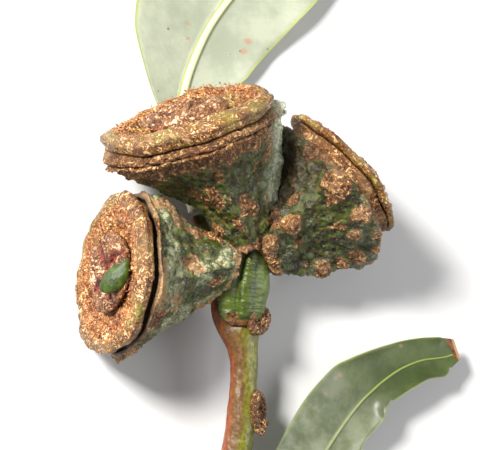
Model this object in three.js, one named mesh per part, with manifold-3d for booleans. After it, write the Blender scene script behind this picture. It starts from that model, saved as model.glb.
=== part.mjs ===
// A short twig with a stalked cluster of three warty, ribbed gum nuts and two leaves,
// lying with its flat side down. Millimetres, +Y along the twig, +Z up from the surface.
import * as THREE from 'three';
import { mergeVertices } from 'three/addons/utils/BufferGeometryUtils.js';
import Module from 'manifold-3d';

const wasm = await Module();
wasm.setup();

// Space kept round a piece where it is cut out of its neighbours
const GAP = 0.42;
// Moves the middle of the sprig's outline over the origin
const SHIFT = [-6.85, -5.1, 0];
const MERGE_DISTANCE = 1e-4;

// Gum nuts: base and rim centre, way the rim faces, rim radius, ribs, lumps, outline of the
// neck inside the rim, height of the disc's underside, thickness of the disc, where it sags
// and boldness of the valves. A rib is its turn in degrees from the uppermost point, share of
// the full rib, reach of its corner, how late it flares and how much of the corner is left at
// the rim. A lump is its turn, share of the height, size and height, below zero for a dent.
// A sag is its turn, loss of radius and share of the height lost.
const NUTS = {
  left: {
    base: [-2.4, -1.7, 10.9],
    rim: [-20.0, -3.65, 11.4],
    face: [-0.976, 0.1, 0.171],
    radius: 11.8,
    ribs: [
      [-97, 1.0, 1.2, 0.8, 1], [-14, 0.75, 0.2, 1.0, 1], [70, 0.95, 0.6, 1.5, 1], [172, 0.9, 0.2, 0.8, 1],
    ],
    lumps: [
      [-15, 0.93, 1.3, 0.4], [-57, 0.8, 2.0, 0.45], [57, 0.72, 1.6, 0.5], [48, 0.11, 1.6, 0.8],
      [-95, 0.92, 2.2, 0.8], [76, 0.78, 3.4, 1.8], [70, 0.25, 2.5, 0.8], [12, 0.57, 0.8, 0.35],
    ],
    neck: [[0.75, 0.25], [1.35, -0.9], [2.0, -0.9], [2.2, 0.0], [1.6, 0.6], [3.2, 0.7]],
    under: 1.0,
    swell: 1,
    sag: [130, 0.7, 0.1],
    bold: 1.2,
    warts: 1,
  },
  top: {
    base: [-0.6, -0.2, 12.0],
    rim: [-10.3, 16.2, 15.4],
    face: [-0.315, 0.9, 0.285],
    radius: 12.9,
    ribs: [
      [-83, 1.0, 2.0, 2.6, 1], [-10, 0.8, 0.1, 1.0, 1], [82, 1.0, 2.5, 0.8, 1], [178, 0.9, 0.2, 1.4, 1],
    ],
    lumps: [
      [0, 0.95, 1.8, 0.5], [-60, 0.93, 1.8, 0.6], [39, 0.7, 1.0, 0.7], [24, 0.38, 1.4, 0.8],
      [-27, 0.54, 1.5, 0.5], [-62, 0.27, 1.4, 0.7], [-84, 0.93, 2.0, 0.5], [-100, 0.46, 2.3, -1.5],
    ],
    neck: [[0.9, 0.3], [1.3, 0.1], [0.75, 0.45], [0.3, 0.95], [0.55, 1.4], [3.2, 1.5]],
    under: 1.85,
    swell: 1.16,
    sag: [-145, 0.6, 0.35],
    bold: 1.3,
    warts: 2,
  },
  right: {
    base: [0.9, -0.7, 10.6],
    rim: [12.9, 9.5, 11.4],
    face: [0.767, 0.63, 0.119],
    radius: 11.65,
    ribs: [
      [-95, 1.0, 0.9, 0.9, 1], [-7, 0.97, 0.3, 0.85, 1], [98, 1.04, 4.6, 0.8, 0], [-168, 0.9, 0.2, 0.8, 1],
    ],
    lumps: [
      [-6, 0.9, 2.2, 0.9], [27, 0.92, 1.7, 0.8], [-6, 0.36, 1.5, 0.8], [-6, 0.12, 1.3, 0.8],
      [48, 0.8, 1.1, 0.45], [90, 0.44, 1.2, 0.5], [-39, 0.95, 1.6, 0.3], [78, 0.96, 1.2, 0.5],
      [90, 0.62, 1.0, 0.4],
    ],
    neck: [[0.5, 0.2], [1.2, 0.45], [1.8, 1.1], [1.8, 1.7], [1.3, 2.15], [3.2, 2.2]],
    under: 2.55,
    swell: 0.54,
    sag: [85, 0.9, 0.15],
    bold: 0.75,
    warts: 3,
  },
};
const NUT_AROUND = 48;
const BASE_RADIUS = 3.3;
const WALL_STEPS = [0.03, 0.09, 0.17, 0.25, 0.33, 0.41, 0.49, 0.57, 0.65, 0.73, 0.81, 0.88, 0.94, 1];
const WALL_LENGTH = 18;
const CORNER_WIDTH = 0.3;
const WART_COUNT = 22;

// Plain neck, as inset from the rim radius and height over the rim, for cutting a nut's room
// out of its neighbours
const NECK_ROOM = [[0, 0.4], [0.4, 1.2]];
// Outline of the swollen disc, from under it round its edge to its sunken middle
const DISC = [
  [3.2, 0], [1.4, -0.05], [0.25, 0.15], [-0.25, 0.85], [0.0, 1.55], [0.8, 2.1],
  [1.9, 2.35], [2.9, 2.5], [3.7, 2.2], [4.5, 1.4], [5.1, 0.8],
];
const DISC_MIDDLE = 0.7;
const SAG_WIDTH = 0.65;

// Valves: insets and heights of a four-lobed mound split by a star
const VALVE_AROUND = 32;
const VALVE_FLOOR = [0.3, 0.9];
const VALVES = [[6.1, 0], [5.7, 0.5], [6.1, 1.15], [7.1, 1.7], [8.4, 1.95], [9.8, 1.6], [10.9, 1.0]];
const CLEFT_WIDTH = 0.75;

// Twig: centre points with half width and half height, from the cut end upwards
const TWIG = [
  [-7.1, -52.3, 2.05, 2.15, 2.15], [-5.6, -46.4, 3.1, 2.2, 2.15], [-3.4, -37.5, 4.5, 2.15, 2.1],
  [-1.9, -30.7, 5.5, 2.25, 2.15], [-1.0, -24.6, 6.3, 2.2, 2.1], [-0.6, -19.0, 6.7, 2.05, 2.0],
  [-0.6, -14.6, 6.8, 2.35, 2.2], [-1.0, -11.6, 6.6, 3.2, 2.5], [-2.0, -8.6, 5.8, 2.9, 2.1],
  [-3.1, -4.5, 4.9, 1.9, 1.5], [-4.6, 0.6, 4.1, 1.45, 1.25], [-6.0, 6.0, 3.2, 1.25, 1.1],
];
const TWIG_AROUND = 16;
const TWIG_STEPS = 38;

// Old leaf scars: centre, way they face, width, height and depth
const SCARS = [
  { at: [1.3, -10.6, 8.4], face: [0.5, 0.1, 0.86], size: [2.1, 2.3, 1.7] },
  { at: [1.3, -24.2, 7.2], face: [0.75, -0.05, 0.66], size: [1.7, 2.5, 1.2] },
  { at: [1.8, -26.7, 7.0], face: [0.85, -0.4, 0.35], size: [1.0, 1.1, 1.3] },
];

// Stalk under the nuts: centre points with half width and half depth
const STALK = [
  [-1.4, -11.2, 9.0, 2.6, 1.5], [-1.4, -9.2, 9.3, 3.4, 1.9], [-1.2, -6.0, 9.9, 3.9, 2.2],
  [-0.8, -3.2, 10.3, 3.6, 2.3], [-0.4, -0.6, 10.9, 3.0, 2.3], [-0.2, 0.8, 11.0, 2.2, 1.9],
];
const STALK_AROUND = 22;
const STALK_STEPS = 16;

// Leaves: stations along the midrib as x, y, underside height, left width, right width
const BLADE_THICKNESS = 0.7;
const UPPER_LEAF = {
  stations: [
    [-7.5, 17.6, 0.25, 0.9, 0.9], [-7.1, 22.0, 0.1, 3.5, 3.1], [-6.2, 26.8, 0.03, 7.0, 6.2],
    [-4.4, 31.4, 0.03, 11.0, 8.6], [-2.0, 36.0, 0.3, 13.1, 9.6], [1.4, 40.6, 0.7, 13.8, 10.2],
    [6.4, 45.8, 0.9, 12.9, 10.3], [12.6, 50.6, 0.7, 11.4, 9.6], [19.8, 54.6, 0.35, 9.0, 7.9],
    [27.2, 57.3, 0.1, 6.0, 5.5], [33.6, 58.6, 0.05, 3.1, 2.9], [39.0, 59.2, 0.5, 0.5, 0.5],
  ],
  petiole: [
    [-6.2, 6.9, 3.0, 0.95], [-7.0, 10.4, 2.2, 0.85], [-7.5, 14.0, 1.4, 0.85], [-7.4, 19.5, 0.75, 0.7],
  ],
  rib: [1.45, 0.75],
  lift: [1.6, 1.1],
  wave: [0.5, 3.4],
  steps: 34,
};
const LOWER_LEAF = {
  stations: [
    [3.1, -46.8, 3.0, 0.8, 0.8], [5.2, -42.3, 3.2, 3.6, 3.0], [8.6, -36.6, 3.4, 6.3, 4.3],
    [13.3, -30.4, 3.6, 7.3, 4.5], [16.6, -26.1, 3.8, 7.5, 4.2], [19.3, -23.1, 3.9, 7.2, 4.2],
    [20.9, -21.7, 4.0, 6.5, 3.1], [22.8, -20.2, 4.0, 5.6, 3.3], [26.3, -18.1, 3.9, 4.3, 3.4],
    [29.8, -16.9, 3.7, 3.6, 3.1], [33.2, -16.5, 3.5, 3.3, 3.0], [34.4, -16.3, 3.4, 3.1, 1.9],
    [36.4, -15.7, 3.3, 2.3, 1.1],
  ],
  petiole: [
    [-2.6, -46.6, 3.6, 0.95], [-0.6, -48.4, 3.3, 0.9], [1.8, -48.2, 3.4, 0.85], [3.6, -45.6, 3.55, 0.7],
  ],
  rib: [1.0, 0.5],
  lift: [0.5, 1.3],
  wave: [0.35, 4.2],
  steps: 32,
};

const COLOURS = {
  twig: 0x8a5a33,
  stalk: 0x3f7a1e,
  cup: 0x4c6636,
  disc: 0x8a5a36,
  valves: 0x7a4a30,
  leafUpper: 0x93a58c,
  leafLower: 0x5d7d45,
};

function vector(a) {
  return new THREE.Vector3(a[0], a[1], a[2]);
}

// A closed solid through rings of points; its first and last ring are one point each
function loft(rings) {
  const rows = rings.map((_, row) => new THREE.Vector2(1, row));
  const skin = new THREE.LatheGeometry(rows, rings[1].length);
  const places = skin.getAttribute('position');
  for (let i = 0; i < places.count; i += 1) {
    const ring = rings[i % rings.length];
    const point = ring[Math.floor(i / rings.length) % ring.length];
    places.setXYZ(i, point.x, point.y, point.z);
  }
  return solid(skin);
}

// Turns a skin into a solid with its seams closed and its faces outward
function solid(skin) {
  skin.deleteAttribute('normal');
  skin.deleteAttribute('uv');
  const merged = mergeVertices(skin, MERGE_DISTANCE);
  const places = merged.getAttribute('position');
  const corners = [0, 1, 2].map(() => new THREE.Vector3());
  const faces = [];
  let volume = 0;
  for (let i = 0; i < merged.index.count; i += 3) {
    const face = [0, 1, 2].map((k) => merged.index.getX(i + k));
    if (new Set(face).size === 3) {
      face.forEach((vertex, k) => corners[k].fromBufferAttribute(places, vertex));
      volume += corners[0].dot(corners[1].clone().cross(corners[2]));
      faces.push(face);
    }
  }
  const triVerts = new Uint32Array(faces.flatMap(([a, b, c]) => (volume > 0 ? [a, b, c] : [a, c, b])));
  return new wasm.Manifold(new wasm.Mesh({ numProp: 3, vertProperties: places.array, triVerts }));
}

// Evenly spread fractions, used to place warts by rule
function spread(index, step, start) {
  return (start + index * step) % 1;
}

function wartsOf(nut) {
  const warts = [];
  for (let i = 0; i < WART_COUNT; i += 1) {
    warts.push({
      turn: 2 * Math.PI * spread(i, 0.7548777, 0.31 * nut.warts),
      along: 0.16 + 0.78 * spread(i, 0.5698403, 0.17 * nut.warts),
      size: 0.7 + 0.7 * spread(i, 0.618034, 0.2),
      height: 0.25 + 0.4 * spread(i, 0.414214, 0.5),
    });
  }
  return warts;
}

function radians(degrees) {
  return degrees * Math.PI / 180;
}

function turnBetween(a, b) {
  return Math.atan2(Math.sin(a - b), Math.cos(a - b));
}

// How far the ribs' corners stick out at a turn and share of the height
function cornerAt(nut, turn, along) {
  let corner = 0;
  for (const [degrees, , reach, , left] of nut.ribs) {
    const grown = along ** 1.6 * (1 - (1 - left) * along ** 6);
    const away = turnBetween(turn, radians(degrees));
    corner += reach * grown * Math.exp(-((away / CORNER_WIDTH) ** 2));
  }
  return corner;
}

// Radius of the four-cornered section at a height, its corners on the ribs
function sectionRadius(nut, turn, along) {
  const reach = nut.radius - BASE_RADIUS - 0.4;
  const ribs = nut.ribs.map(([degrees, share, , late]) => (
    { at: radians(degrees), radius: share * (BASE_RADIUS + 0.4 + reach * along ** late) }));
  const round = nut.radius * along + BASE_RADIUS * (1 - along);
  const belly = Math.sin(Math.PI * Math.min(1, along * 1.25)) ** 0.8;
  const angular = (0.35 + 0.65 * belly) * (1 - 0.8 * along ** 5);
  ribs.sort((a, b) => a.at - b.at);
  for (let i = 0; i < ribs.length; i += 1) {
    const start = ribs[i];
    const end = ribs[(i + 1) % ribs.length];
    const span = (end.at - start.at + 2 * Math.PI) % (2 * Math.PI);
    const from = (turn - start.at + 4 * Math.PI) % (2 * Math.PI);
    if (from <= span) {
      const chord = Math.max(0.66, Math.cos(span / 2) / Math.cos(from - span / 2));
      const cornered = start.radius + (end.radius - start.radius) * from / span;
      const rimward = cornered + (round - cornered) * along ** 5;
      return rimward * (1 + (chord - 1) * angular);
    }
  }
  return round;
}

function wallRadius(nut, warts, turn, along) {
  let radius = sectionRadius(nut, turn, along) + cornerAt(nut, turn, along);
  radius += 0.16 * Math.sin(7 * turn + 9 * along) + 0.12 * Math.sin(11 * turn - 13 * along);
  const bumpAt = (at, share, size, height) => {
    const away = turnBetween(turn, at) * radius;
    const up = (along - share) * WALL_LENGTH;
    return height * Math.exp(-(away * away + up * up) / size ** 2);
  };
  const wart = Math.max(...warts.map((w) => bumpAt(w.turn, w.along, w.size, w.height)));
  let lumps = 0;
  for (const [degrees, share, size, height] of nut.lumps) {
    lumps += bumpAt(radians(degrees), share, size, height);
  }
  return radius + wart + lumps;
}

// Directions round a nut: uppermost, sideways and the way its rim faces
function nutFrame(nut) {
  const face = vector(nut.face).normalize();
  const up = new THREE.Vector3(0, 0, 1).addScaledVector(face, -face.z).normalize();
  const side = new THREE.Vector3().crossVectors(face, up);
  return { face, up, side };
}

function nutRing(nut, centre, radiusAt, heightAt, count = NUT_AROUND) {
  const { face, up, side } = nutFrame(nut);
  const ring = [];
  for (let j = 0; j < count; j += 1) {
    const turn = 2 * Math.PI * j / count;
    const radius = radiusAt(turn);
    ring.push(centre.clone().addScaledVector(face, heightAt(turn))
      .addScaledVector(up, radius * Math.cos(turn)).addScaledVector(side, radius * Math.sin(turn)));
  }
  return ring;
}

// Outline of the rim seen along the face, with its corners
function rimRadius(nut, turn, inset) {
  const corner = cornerAt(nut, turn, 1) * Math.max(0, 1 - inset / 3);
  return nut.radius - inset + corner + 0.12 * Math.sin(5 * turn + inset);
}

function rimHeight(turn, height) {
  return height + 0.18 * Math.sin(3 * turn + 1) + 0.1 * Math.sin(8 * turn);
}

// Ribbed cup with its thin rim, the groove inside it and the neck that carries the disc
function cupSolid(nut, grow) {
  const warts = wartsOf(nut);
  const base = vector(nut.base);
  const rim = vector(nut.rim);
  const { face } = nutFrame(nut);
  const rings = [[base.clone().addScaledVector(face, -grow)]];
  for (const along of WALL_STEPS) {
    const centre = base.clone().lerp(rim, along).addScaledVector(face, -grow * (1 - along));
    const lift = (turn) => rimHeight(turn, 0) * along ** 3;
    rings.push(nutRing(nut, centre, (turn) => wallRadius(nut, warts, turn, along) + grow, lift));
  }
  const neck = grow > 0 ? NECK_ROOM : nut.neck;
  for (const [inset, height] of neck) {
    const lift = (turn) => rimHeight(turn, height + grow);
    rings.push(nutRing(nut, rim, (turn) => rimRadius(nut, turn, inset) + grow, lift));
  }
  rings.push([rim.clone().addScaledVector(face, neck[neck.length - 1][1] + grow)]);
  return loft(rings);
}

// Swollen ring-shaped disc over the cup, with a crumbly ridge and a sunken middle
function discSolid(nut) {
  const rim = vector(nut.rim);
  const { face } = nutFrame(nut);
  const [sagTurn, narrower, lower] = nut.sag;
  const sagAt = (turn) => Math.exp(-((turnBetween(turn, radians(sagTurn)) / SAG_WIDTH) ** 2));
  const rings = [[rim.clone().addScaledVector(face, nut.under)]];
  DISC.forEach(([inset, height], i) => {
    const crumb = i > 5 && i < 9 ? 0.22 : 0.04;
    const edge = nut.radius - inset;
    const radiusAt = (turn) => edge - narrower * sagAt(turn) + 0.12 * Math.sin(5 * turn + inset);
    const rough = (turn) => crumb * (Math.sin(13 * turn + 2.4 * i) + Math.sin(22 * turn - 1.7 * i));
    const heightAt = (turn) => {
      const level = nut.under + height * nut.swell * (1 - lower * sagAt(turn));
      return level + (rimHeight(turn, 0) + rough(turn)) * radiusAt(turn) / nut.radius;
    };
    rings.push(nutRing(nut, rim, radiusAt, heightAt));
  });
  rings.push([rim.clone().addScaledVector(face, nut.under + DISC_MIDDLE * nut.swell)]);
  return loft(rings);
}

// Four swollen valves on one floor, parted by a star-shaped cleft
function valveSolid(nut) {
  const rim = vector(nut.rim);
  const { face } = nutFrame(nut);
  const floor = nut.under + VALVE_FLOOR[0] + VALVE_FLOOR[1] * nut.swell;
  const rings = [[rim.clone().addScaledVector(face, floor)]];
  for (const [inset, height] of VALVES) {
    const radius = nut.radius * (1 - inset / 11.8);
    const cleft = (turn) => Math.exp(-((Math.sin(2 * (turn - 0.5)) * radius / 2 / CLEFT_WIDTH) ** 2));
    const swell = (turn) => 1 + 0.18 * Math.sin(turn + nut.warts) + 0.1 * Math.sin(3 * turn);
    const heightAt = (turn) => floor + nut.bold * height * swell(turn) * (1 - 0.62 * cleft(turn));
    const radiusAt = (turn) => radius - 0.5 * cleft(turn) * Math.min(1, height);
    rings.push(nutRing(nut, rim, radiusAt, heightAt, VALVE_AROUND));
  }
  rings.push([rim.clone().addScaledVector(face, floor + 0.7 * nut.bold)]);
  return loft(rings);
}

// A tube through stations of x, y, z, half width and half height, with rounded ends
function tube(stations, count, steps, grow, shape) {
  const path = new THREE.CatmullRomCurve3(stations.map(vector));
  const sizes = new THREE.CatmullRomCurve3(stations.map((s) => new THREE.Vector3(s[3], s[4], 0)));
  const rings = [];
  for (let i = 0; i <= steps; i += 1) {
    const t = i / steps;
    const centre = path.getPoint(t);
    const size = sizes.getPoint(t);
    const tangent = path.getTangent(t);
    const side = new THREE.Vector3().crossVectors(tangent, new THREE.Vector3(0, 0, 1)).normalize();
    const up = new THREE.Vector3().crossVectors(side, tangent);
    const ring = [];
    for (let j = 0; j < count; j += 1) {
      const turn = 2 * Math.PI * j / count;
      const scale = shape(turn, t);
      ring.push(centre.clone().addScaledVector(side, (size.x * scale + grow) * Math.cos(turn))
        .addScaledVector(up, (size.y * scale + grow) * Math.sin(turn)));
    }
    if (i === 0) rings.push([centre.clone().addScaledVector(tangent, -0.25 - grow)]);
    rings.push(ring);
    if (i === steps) rings.push([centre.clone().addScaledVector(tangent, 0.25 + grow)]);
  }
  return loft(rings);
}

// Raised corky scar with a pit in its middle
function scarSolid(scar, grow) {
  const face = vector(scar.face).normalize();
  const [wide, tall, deep] = scar.size.map((size) => size + 1.6 * grow);
  const side = new THREE.Vector3().crossVectors(new THREE.Vector3(0, 1, 0), face).normalize();
  const along = new THREE.Vector3().crossVectors(face, side);
  const outline = [[0.6, -0.6], [1, 0.1], [0.92, 0.6], [0.6, 0.9], [0.36, 0.6]];
  const centre = vector(scar.at);
  const rings = [[centre.clone().addScaledVector(face, -deep)]];
  for (const [reach, height] of outline) {
    const ring = [];
    for (let j = 0; j < 12; j += 1) {
      const turn = 2 * Math.PI * j / 12;
      const uneven = reach * (1 + 0.08 * Math.sin(3 * turn + reach));
      ring.push(centre.clone().addScaledVector(face, height * deep)
        .addScaledVector(side, uneven * wide * Math.cos(turn))
        .addScaledVector(along, uneven * tall * Math.sin(turn)));
    }
    rings.push(ring);
  }
  rings.push([centre.clone().addScaledVector(face, 0.45 * deep)]);
  return loft(rings);
}

function twigSolid(grow) {
  const bark = (turn, t) => 1 + 0.03 * Math.sin(3 * turn + 14 * t) + 0.02 * Math.sin(5 * turn - 40 * t);
  let twig = tube(TWIG, TWIG_AROUND, TWIG_STEPS, grow, bark);
  for (const scar of SCARS) {
    twig = twig.add(scarSolid(scar, grow));
  }
  return twig;
}

// Flattened green stalk with a furrow off its middle and shallow cross wrinkles
function stalkSolid() {
  const shape = (turn, t) => {
    const furrow = 0.16 * Math.exp(-(((turn - 2.0) / 0.3) ** 2));
    const square = 1 + 0.06 * Math.cos(4 * turn);
    return square - furrow + 0.012 * Math.sin(60 * t);
  };
  return tube(STALK, STALK_AROUND, STALK_STEPS, 0, shape);
}

// Waved blade with a raised midrib, split alike on both faces, and its stalk
function leafSolid(leaf) {
  const path = new THREE.CatmullRomCurve3(leaf.stations.map(vector));
  const widths = new THREE.CatmullRomCurve3(leaf.stations.map((s) => new THREE.Vector3(s[3], s[4], 0)));
  const across = [-1, -0.72, -0.42, -0.2, -0.08, 0.08, 0.2, 0.42, 0.72, 1];
  const top = [];
  const bottom = [];
  for (let i = 0; i <= leaf.steps; i += 1) {
    const t = i / leaf.steps;
    const centre = path.getPoint(t);
    const width = widths.getPoint(t);
    const tangent = path.getTangent(t);
    const side = new THREE.Vector3(tangent.y, -tangent.x, 0).normalize();
    const ribHalf = Math.min(leaf.rib[0] * (1 - 0.6 * t) * 0.5, 0.3 * Math.min(width.x, width.y));
    across.forEach((v, j) => {
      const half = v < 0 ? width.x : width.y;
      const near = Math.abs(v) < 0.1 ? 0.5 : 1;
      const reach = Math.abs(v) < 0.3 ? Math.sign(v) * ribHalf * near : v * half;
      const rise = (v < 0 ? leaf.lift[0] : leaf.lift[1]) * v * v * Math.sin(Math.PI * t) ** 0.7;
      const wave = leaf.wave[0] * v ** 4 * (1 + Math.sin(2 * Math.PI * leaf.wave[1] * t + 2 * v));
      const ridge = Math.abs(v) < 0.1 ? leaf.rib[1] * (1 - 0.6 * t) * Math.min(1, 12 * (1 - t)) : 0;
      const low = centre.clone().addScaledVector(side, reach);
      low.z += rise + wave * Math.sin(Math.PI * t);
      bottom.push(low);
      top.push(low.clone().setZ(low.z + BLADE_THICKNESS + ridge));
    });
  }
  const columns = across.length;
  const shift = top.length;
  const faces = [];
  const quad = (a, b, c, d) => faces.push([a, b, c], [a, c, d]);
  for (let i = 0; i < leaf.steps; i += 1) {
    for (let j = 0; j + 1 < columns; j += 1) {
      const a = i * columns + j;
      quad(a, a + 1, a + 1 + columns, a + columns);
      quad(shift + a, shift + a + columns, shift + a + 1 + columns, shift + a + 1);
    }
    const left = i * columns;
    const right = left + columns - 1;
    quad(left, left + columns, shift + left + columns, shift + left);
    quad(right, shift + right, shift + right + columns, right + columns);
  }
  for (let j = 0; j + 1 < columns; j += 1) {
    const end = leaf.steps * columns + j;
    quad(j, shift + j, shift + j + 1, j + 1);
    quad(end, end + 1, shift + end + 1, shift + end);
  }
  const skin = new THREE.BufferGeometry().setFromPoints([...top, ...bottom]);
  skin.setIndex(faces.flat());
  const blade = solid(skin);
  const petiole = leaf.petiole.map(([x, y, z, r]) => [x, y, z, r, r]);
  return blade.add(tube(petiole, 10, 12, 0, () => 1));
}

// Drops the crumbs that a cut may leave
function largest(body) {
  return body.decompose().sort((a, b) => b.volume() - a.volume())[0];
}

function aboveSurface(body) {
  return body.trimByPlane([0, 0, 1], 0);
}

const group = new THREE.Group();

function addNode(name, body, colour) {
  const mesh = body.getMesh();
  const geometry = new THREE.BufferGeometry();
  const positions = new Float32Array(mesh.triVerts.length * 3);
  for (let i = 0; i < mesh.triVerts.length; i += 1) {
    for (let k = 0; k < 3; k += 1) {
      positions[i * 3 + k] = mesh.vertProperties[mesh.triVerts[i] * mesh.numProp + k] + SHIFT[k];
    }
  }
  geometry.setAttribute('position', new THREE.BufferAttribute(positions, 3));
  geometry.computeVertexNormals();
  const item = new THREE.Mesh(geometry, new THREE.MeshStandardMaterial({ color: colour, roughness: 0.6 }));
  item.name = name;
  group.add(item);
}

const twig = aboveSurface(twigSolid(0));
const cups = {};
const grown = [];
for (const [side, nut] of Object.entries(NUTS)) {
  let cup = cupSolid(nut, 0);
  for (const body of grown) {
    cup = cup.subtract(body);
  }
  cups[side] = largest(cup);
  grown.push(cupSolid(nut, GAP));
}
let stalk = stalkSolid().subtract(twigSolid(GAP));
for (const body of grown) {
  stalk = stalk.subtract(body);
}

addNode('twig', twig, COLOURS.twig);
addNode('stalk', largest(stalk), COLOURS.stalk);
for (const [side, nut] of Object.entries(NUTS)) {
  addNode(`cup_${side}`, aboveSurface(cups[side]), COLOURS.cup);
  addNode(`disc_${side}`, aboveSurface(discSolid(nut)), COLOURS.disc);
  addNode(`valves_${side}`, valveSolid(nut), COLOURS.valves);
}
addNode('leaf_upper', leafSolid(UPPER_LEAF), COLOURS.leafUpper);
addNode('leaf_lower', leafSolid(LOWER_LEAF), COLOURS.leafLower);

export default group;
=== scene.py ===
"""A eucalyptus twig with three warty gum nuts and two leaves, laid down and seen from above.

Lengths are in millimetres until a piece is finished, when its mesh is scaled to metres.
"""

import math
from collections import namedtuple

import bmesh
import bpy
from mathutils import Matrix, Vector, noise


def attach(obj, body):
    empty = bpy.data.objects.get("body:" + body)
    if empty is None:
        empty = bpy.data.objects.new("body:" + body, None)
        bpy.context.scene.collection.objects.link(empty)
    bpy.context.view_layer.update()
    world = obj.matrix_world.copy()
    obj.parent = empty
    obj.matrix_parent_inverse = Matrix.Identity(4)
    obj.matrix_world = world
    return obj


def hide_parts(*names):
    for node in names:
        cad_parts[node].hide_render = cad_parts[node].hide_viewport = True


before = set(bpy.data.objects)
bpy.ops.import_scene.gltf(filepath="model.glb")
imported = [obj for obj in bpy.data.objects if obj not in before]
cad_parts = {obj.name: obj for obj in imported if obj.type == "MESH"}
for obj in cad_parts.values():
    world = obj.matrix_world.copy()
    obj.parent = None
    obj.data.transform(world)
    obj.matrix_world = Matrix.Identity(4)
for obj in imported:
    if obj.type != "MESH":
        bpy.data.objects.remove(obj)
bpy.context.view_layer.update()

MM = 0.001
# Moves the middle of the sprig's outline over the origin
SHIFT = Vector((-6.85, -5.1, 0))
UP = Vector((0, 0, 1))

# Gum nuts: what each value says. Turns are in degrees from the nut's uppermost point.
# base, rim, face, radius: base and rim centre, way the rim faces and rim radius
# ribs: turn, share of the full rib, reach of its corner, how late it flares, corner left at the rim
# lumps: turn, share of the height, size, and height, which is below zero for a dent
# neck: outline inside the rim, as inset and height
# under, swell: height of the disc's underside and thickness of the disc
# sag: where the disc sags, as turn, loss of radius and share of the height lost
# bold: boldness of the valves
# warts: number that spreads the small warts its own way on each nut
# wax: strength of the whitish bloom on the wall and of the painted glints on its crests
# rim_cork, rim_patch: height share where the rim's cork starts, and how far a patch of it dips
# corky_rib, pale_rib: cork and whitish bloom along the rib nearest the upper leaf
# crust, shade: extra cork and shade on the facet below the upper leaf
# neck_dark, crumbly, lift: painted shade in the neck, crumbly rim, and millimetres that the neck's floor
# rises
# crumbs, ridge_in: number of loose crumbs, and millimetres that the disc's ridge bends inwards
# red: redness of the cleft
NUTS = {
    "left": {
        "base": (-2.4, -1.7, 10.9),
        "rim": (-20.0, -3.65, 11.4),
        "face": (-0.976, 0.1, 0.171),
        "radius": 11.8,
        "ribs": (
            (-97, 1.0, 1.2, 0.8, 1), (-14, 0.75, 0.2, 1.0, 1),
            (70, 0.95, 0.6, 1.5, 1), (172, 0.9, 0.2, 0.8, 1),
        ),
        "lumps": (
            (-15, 0.93, 1.3, 0.4), (-57, 0.8, 2.0, 0.45), (57, 0.72, 1.6, 0.5), (48, 0.11, 1.6, 0.8),
            (-95, 0.92, 2.2, 0.8), (76, 0.78, 3.4, 1.8), (70, 0.25, 2.5, 0.8), (12, 0.57, 0.8, 0.35),
        ),
        "neck": ((0.75, 0.25), (1.35, -0.9), (2.0, -0.9), (2.2, 0.0), (1.6, 0.6), (3.2, 0.7)),
        "under": 1.0,
        "swell": 1.0,
        "sag": (130, 0.7, 0.1),
        "bold": 1.2,
        "warts": 1,
        "wax": 1.5,
        "rim_cork": 0.96,
        "rim_patch": 0.14,
        "corky_rib": 1,
        "pale_rib": 0,
        "crust": 0,
        "shade": 0,
        "neck_dark": 1.0,
        "crumbly": 0.35,
        "lift": 0,
        "crumbs": 70,
        "ridge_in": 0,
        "red": 1,
    },
    "top": {
        "base": (-0.6, -0.2, 12.0),
        "rim": (-10.3, 16.2, 15.4),
        "face": (-0.315, 0.9, 0.285),
        "radius": 12.9,
        "ribs": (
            (-83, 1.0, 2.0, 2.6, 1), (-10, 0.8, 0.1, 1.0, 1),
            (82, 1.0, 2.5, 0.8, 1), (178, 0.9, 0.2, 1.4, 1),
        ),
        "lumps": (
            (0, 0.95, 1.8, 0.5), (-60, 0.93, 1.8, 0.6), (39, 0.7, 1.0, 0.7), (24, 0.38, 1.4, 0.8),
            (-27, 0.54, 1.5, 0.5), (-62, 0.27, 1.4, 0.7), (-84, 0.93, 2.0, 0.5), (-100, 0.46, 2.3, -1.5),
        ),
        "neck": ((0.9, 0.3), (1.3, 0.1), (0.75, 0.45), (0.3, 0.95), (0.55, 1.4), (3.2, 1.5)),
        "under": 1.85,
        "swell": 1.16,
        "sag": (-145, 0.6, 0.35),
        "bold": 1.3,
        "warts": 2,
        "wax": 0.45,
        "rim_cork": 0.86,
        "rim_patch": 0,
        "corky_rib": 0,
        "pale_rib": 1,
        "crust": 0,
        "shade": 0,
        "neck_dark": 0,
        "crumbly": 1.0,
        "lift": 0.3,
        "crumbs": 260,
        "ridge_in": 1.8,
        "red": 0.3,
    },
    "right": {
        "base": (0.9, -0.7, 10.6),
        "rim": (12.9, 9.5, 11.4),
        "face": (0.767, 0.63, 0.119),
        "radius": 11.65,
        "ribs": (
            (-95, 1.0, 0.9, 0.9, 1), (-7, 0.97, 0.3, 0.85, 1),
            (98, 1.04, 4.6, 0.8, 0), (-168, 0.9, 0.2, 0.8, 1),
        ),
        "lumps": (
            (-6, 0.9, 2.2, 0.9), (27, 0.92, 1.7, 0.8), (-6, 0.36, 1.5, 0.8), (-6, 0.12, 1.3, 0.8),
            (48, 0.8, 1.1, 0.45), (90, 0.44, 1.2, 0.5), (-39, 0.95, 1.6, 0.3), (78, 0.96, 1.2, 0.5),
            (90, 0.62, 1.0, 0.4),
        ),
        "neck": ((0.5, 0.2), (1.2, 0.45), (1.8, 1.1), (1.8, 1.7), (1.3, 2.15), (3.2, 2.2)),
        "under": 2.55,
        "swell": 0.54,
        "sag": (85, 0.9, 0.15),
        "bold": 0.75,
        "warts": 3,
        "wax": 0.55,
        "rim_cork": 1.04,
        "rim_patch": 0,
        "corky_rib": 0,
        "pale_rib": 0,
        "crust": 0.3,
        "shade": 0.85,
        "neck_dark": 0,
        "crumbly": 0.5,
        "lift": 0.3,
        "crumbs": 120,
        "ridge_in": 0,
        "red": 0.3,
    },
}
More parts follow.
